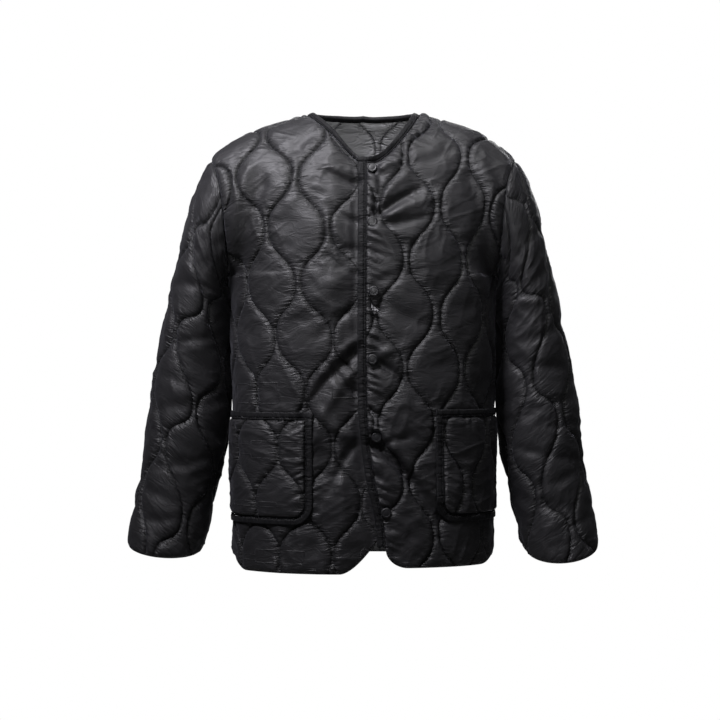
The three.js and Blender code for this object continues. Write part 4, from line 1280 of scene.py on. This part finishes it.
def dress(tree, dark, light, shade, rub, rough, normal):
    """Gives the shader its colour between two shades, its roughness and its surface."""
    shader = tree.nodes["Principled BSDF"]
    colour = add(tree, "ShaderNodeMix", {0: shade, 6: (*dark, 1), 7: (*light, 1)}, data_type="RGBA")
    spread = add(tree, "ShaderNodeMapRange", {**rough, "Value": rub})
    tree.links.new(colour.outputs[2], shader.inputs["Base Color"])
    tree.links.new(spread.outputs[0], shader.inputs["Roughness"])
    tree.links.new(normal, shader.inputs["Normal"])
    return shader


# %% Cloth
WEAVE_DEPTH = 0.04 * MM


def cloth_material(name, dark, light, roughness, sheen, threads, crinkle, gloss):
    material, tree, place = new_finish(name)
    uv = add(tree, "ShaderNodeUVMap", uv_map="cloth").outputs[0]
    seam = add(tree, "ShaderNodeAttribute", attribute_name="seam").outputs["Fac"]
    folds = add(tree, "ShaderNodeGroup", node_tree=CRINKLE)
    woven = add(tree, "ShaderNodeGroup", node_tree=WEAVE)
    dye_and_crease_shade = add(tree, "ShaderNodeGroup", node_tree=DYE_AND_CREASE_SHADE)
    woven.inputs["Threads"].default_value = threads
    # The stitch-line mask from the crinkle also drives the painted crease shade in the colour.
    for socket, target in (
        (uv, folds.inputs["Vector"]), (seam, folds.inputs["Seam"]), (uv, woven.inputs["Vector"]),
        (place, dye_and_crease_shade.inputs["Vector"]), (folds.outputs["Line"], dye_and_crease_shade.inputs["Painted crease shade"]),
    ):
        tree.links.new(socket, target)
    crinkled = bump(tree, Height=folds.outputs["Height"], Strength=1.0, Distance=crinkle)
    surface = bump(tree, Height=woven.outputs[0], Strength=0.6, Distance=WEAVE_DEPTH, Normal=crinkled)
    rough = {"From Min": 0.2, "From Max": 0.8, "To Min": roughness + 0.07, "To Max": roughness - 0.06}
    shader = dress(tree, dark, light, dye_and_crease_shade.outputs["Shade"], dye_and_crease_shade.outputs["Rub"], rough, surface)
    shader.inputs["Specular IOR Level"].default_value = gloss
    shader.inputs["Sheen Weight"].default_value = sheen
    shader.inputs["Sheen Roughness"].default_value = 0.35
    shader.inputs["Sheen Tint"].default_value = (0.85, 0.86, 1, 1)
    return material


shell = cloth_material(
    "black nylon shell", (0.0033, 0.0033, 0.0036), (0.0195, 0.019, 0.021), 0.54, 0.06, 2200.0, 0.0011, 0.38
)
lining = cloth_material(
    "grey nylon lining", (0.16, 0.16, 0.165), (0.42, 0.42, 0.43), 0.45, 0.1, 2200.0, 0.0030, 0.4
)
binding = cloth_material(
    "black bias tape", (0.003, 0.003, 0.0035), (0.007, 0.007, 0.008), 0.68, 0.02, 1100.0, 0.0010, 0.2
)


# %% Caps and thread
def plain_material(name, dark, light, roughness, scale, depth):
    material, tree, place = new_finish(name)
    grain = add(tree, "ShaderNodeTexNoise", {"Vector": place, "Scale": scale, "Detail": 4.0}).outputs[0]
    rough = {"To Min": roughness - 0.08, "To Max": roughness + 0.1}
    dress(tree, dark, light, grain, grain, rough, bump(tree, Height=grain, Distance=depth))
    return material


enamel = plain_material("black enamelled cap", (0.006, 0.006, 0.007), (0.012, 0.012, 0.014), 0.42, 900.0, 0.00006)
thread_finish = plain_material("black bonded thread", (0.008, 0.008, 0.01), (0.02, 0.02, 0.024), 0.45, 3000.0, 0.00008)

# %% [markdown]
# ## Which piece stands for what
# Each piece rides on the one body of the jacket, replaces its own construction solid, and says what cloth it was
# cut from. The cut is the flat size of what shows; a binding is folded, so its cut is wider than the strip.

# %% Cloth pieces: cut width and length, area and what it hangs from
CUTS = {
    "front_left": (0.28, 0.70, 0.172, ["back", "sleeve_left"]),
    "front_right": (0.31, 0.70, 0.194, ["back", "sleeve_right"]),
    "back": (0.57, 0.70, 0.36, ["front_left", "front_right"]),
    "sleeve_left": (0.40, 0.60, 0.20, ["front_left", "back"]),
    "sleeve_right": (0.40, 0.60, 0.20, ["front_right", "back"]),
    "back_lining": (0.20, 0.15, 0.0235, ["back"]),
    "pocket_left": (0.18, 0.15, 0.0225, ["front_left"]),
    "pocket_right": (0.20, 0.15, 0.0275, ["front_right"]),
    "neck_binding": (0.016, 0.574, None, ["back", "front_left", "front_right"]),
    "front_edge_binding": (0.018, 0.569, None, ["front_left"]),
    "pocket_top_binding_left": (0.015, 0.165, None, ["pocket_left"]),
    "pocket_side_binding_left": (0.015, 0.295, None, ["pocket_left"]),
    "pocket_top_binding_right": (0.015, 0.20, None, ["pocket_right"]),
    "pocket_side_binding_right": (0.015, 0.33, None, ["pocket_right"]),
}
FINISHES = {"shell": (shell, lining), "lining": (lining, lining), "binding": (binding, binding)}
for name, (width, length, area, hangs_from) in CUTS.items():
    piece = pieces[name]
    kind = "lining" if name == "back_lining" else "binding" if "binding" in name else "shell"
    for finish in FINISHES[kind]:
        piece.data.materials.append(finish)
    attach(piece, "root")
    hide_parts(name)
    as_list(hangs_from)

# %% Caps and threads
for number in range(1, len(SNAPS) + 1):
    cap = pieces[f"snap_cap_{number}"]
    cap.data.materials.clear()
    cap.data.materials.append(enamel)
    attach(cap, "root")
    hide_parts(f"snap_cap_{number}")
for name in threads.values():
    pieces[name].data.materials.append(thread_finish)
    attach(pieces[name], "root")
print(len(pieces), "pieces, ", sum(len(p.data.polygons) for p in pieces.values()), "faces")

# %% [markdown]
# ## Camera, light and floor
# The jacket is seen straight on from the front at chest height through a long lens. The light is soft: a large
# key high on the viewer's left, a weaker fill on the right and a strip from above, over a pale studio.

# %% Camera
VIEW_HEIGHT = -0.375
camera = bpy.data.cameras.new("camera")
camera.sensor_width = 36
camera.lens = 98.7
camera.clip_end = 50
eye = link(bpy.data.objects.new("camera", camera))
eye.location = (-0.005, -3.0, VIEW_HEIGHT)
eye.rotation_euler = (math.pi / 2, 0, 0)
bpy.context.scene.camera = eye
bpy.context.scene.view_settings.view_transform = "Standard"


# %% Lights
def soft_light(name, place, target, size, power, colour=(1, 1, 1), beam=180):
    lamp = bpy.data.lights.new(name, "AREA")
    lamp.shape, lamp.size, lamp.size_y = "RECTANGLE", size[0], size[1]
    lamp.energy, lamp.color = power, colour
    lamp.spread = math.radians(beam)
    obj = link(bpy.data.objects.new(name, lamp))
    obj.location = place
    obj.rotation_euler = (Vector(target) - Vector(place)).to_track_quat("-Z", "Y").to_euler()


soft_light("key", (-1.05, -1.2, 1.75), (-0.17, 0, 0.08), (0.8, 0.8), 8.4, (0.99, 0.97, 1.04), 42)
soft_light("neck", (0, -2.6, 0.45), (0, 0.1, -0.02), (0.5, 0.5), 0.45, beam=18)
soft_light("fill", (2.3, -1.7, 0.1), (0, 0, -0.35), (1.0, 1.6), 1.2, (0.97, 0.97, 1))
soft_light("top", (0.3, -0.5, 1.7), (0.1, 0, 0), (1.4, 0.8), 22)
soft_light("behind", (0.4, 2.2, 0.6), (0, 0, -0.3), (1.6, 1.2), 34)

world = bpy.data.worlds.new("studio")
bpy.context.scene.world = world
world.use_nodes = True
tree = world.node_tree
lighting = tree.nodes["Background"]
lighting.inputs["Color"].default_value = (0.82, 0.82, 0.83, 1)
lighting.inputs["Strength"].default_value = 0.05
seen = add(tree, "ShaderNodeBackground", {"Color": (1, 1, 1, 1), "Strength": 1.0})
path = add(tree, "ShaderNodeLightPath")
inputs = {0: path.outputs["Is Camera Ray"], 1: lighting.outputs[0], 2: seen.outputs[0]}
chosen = add(tree, "ShaderNodeMixShader", inputs)
tree.links.new(chosen.outputs[0], tree.nodes["World Output"].inputs["Surface"])

# %% Floor
bpy.ops.object.select_all(action="DESELECT")
bpy.ops.mesh.primitive_circle_add(vertices=96, radius=4.5, fill_type="NGON", location=(0, 0, -2.6))
floor = bpy.context.object
floor.name = "floor"
bpy.ops.object.transform_apply(location=True, rotation=True, scale=True)
floor.data.materials.append(plain_material("pale floor", (0.72, 0.72, 0.73), (0.78, 0.78, 0.79), 0.7, 6.0, 0.0005))
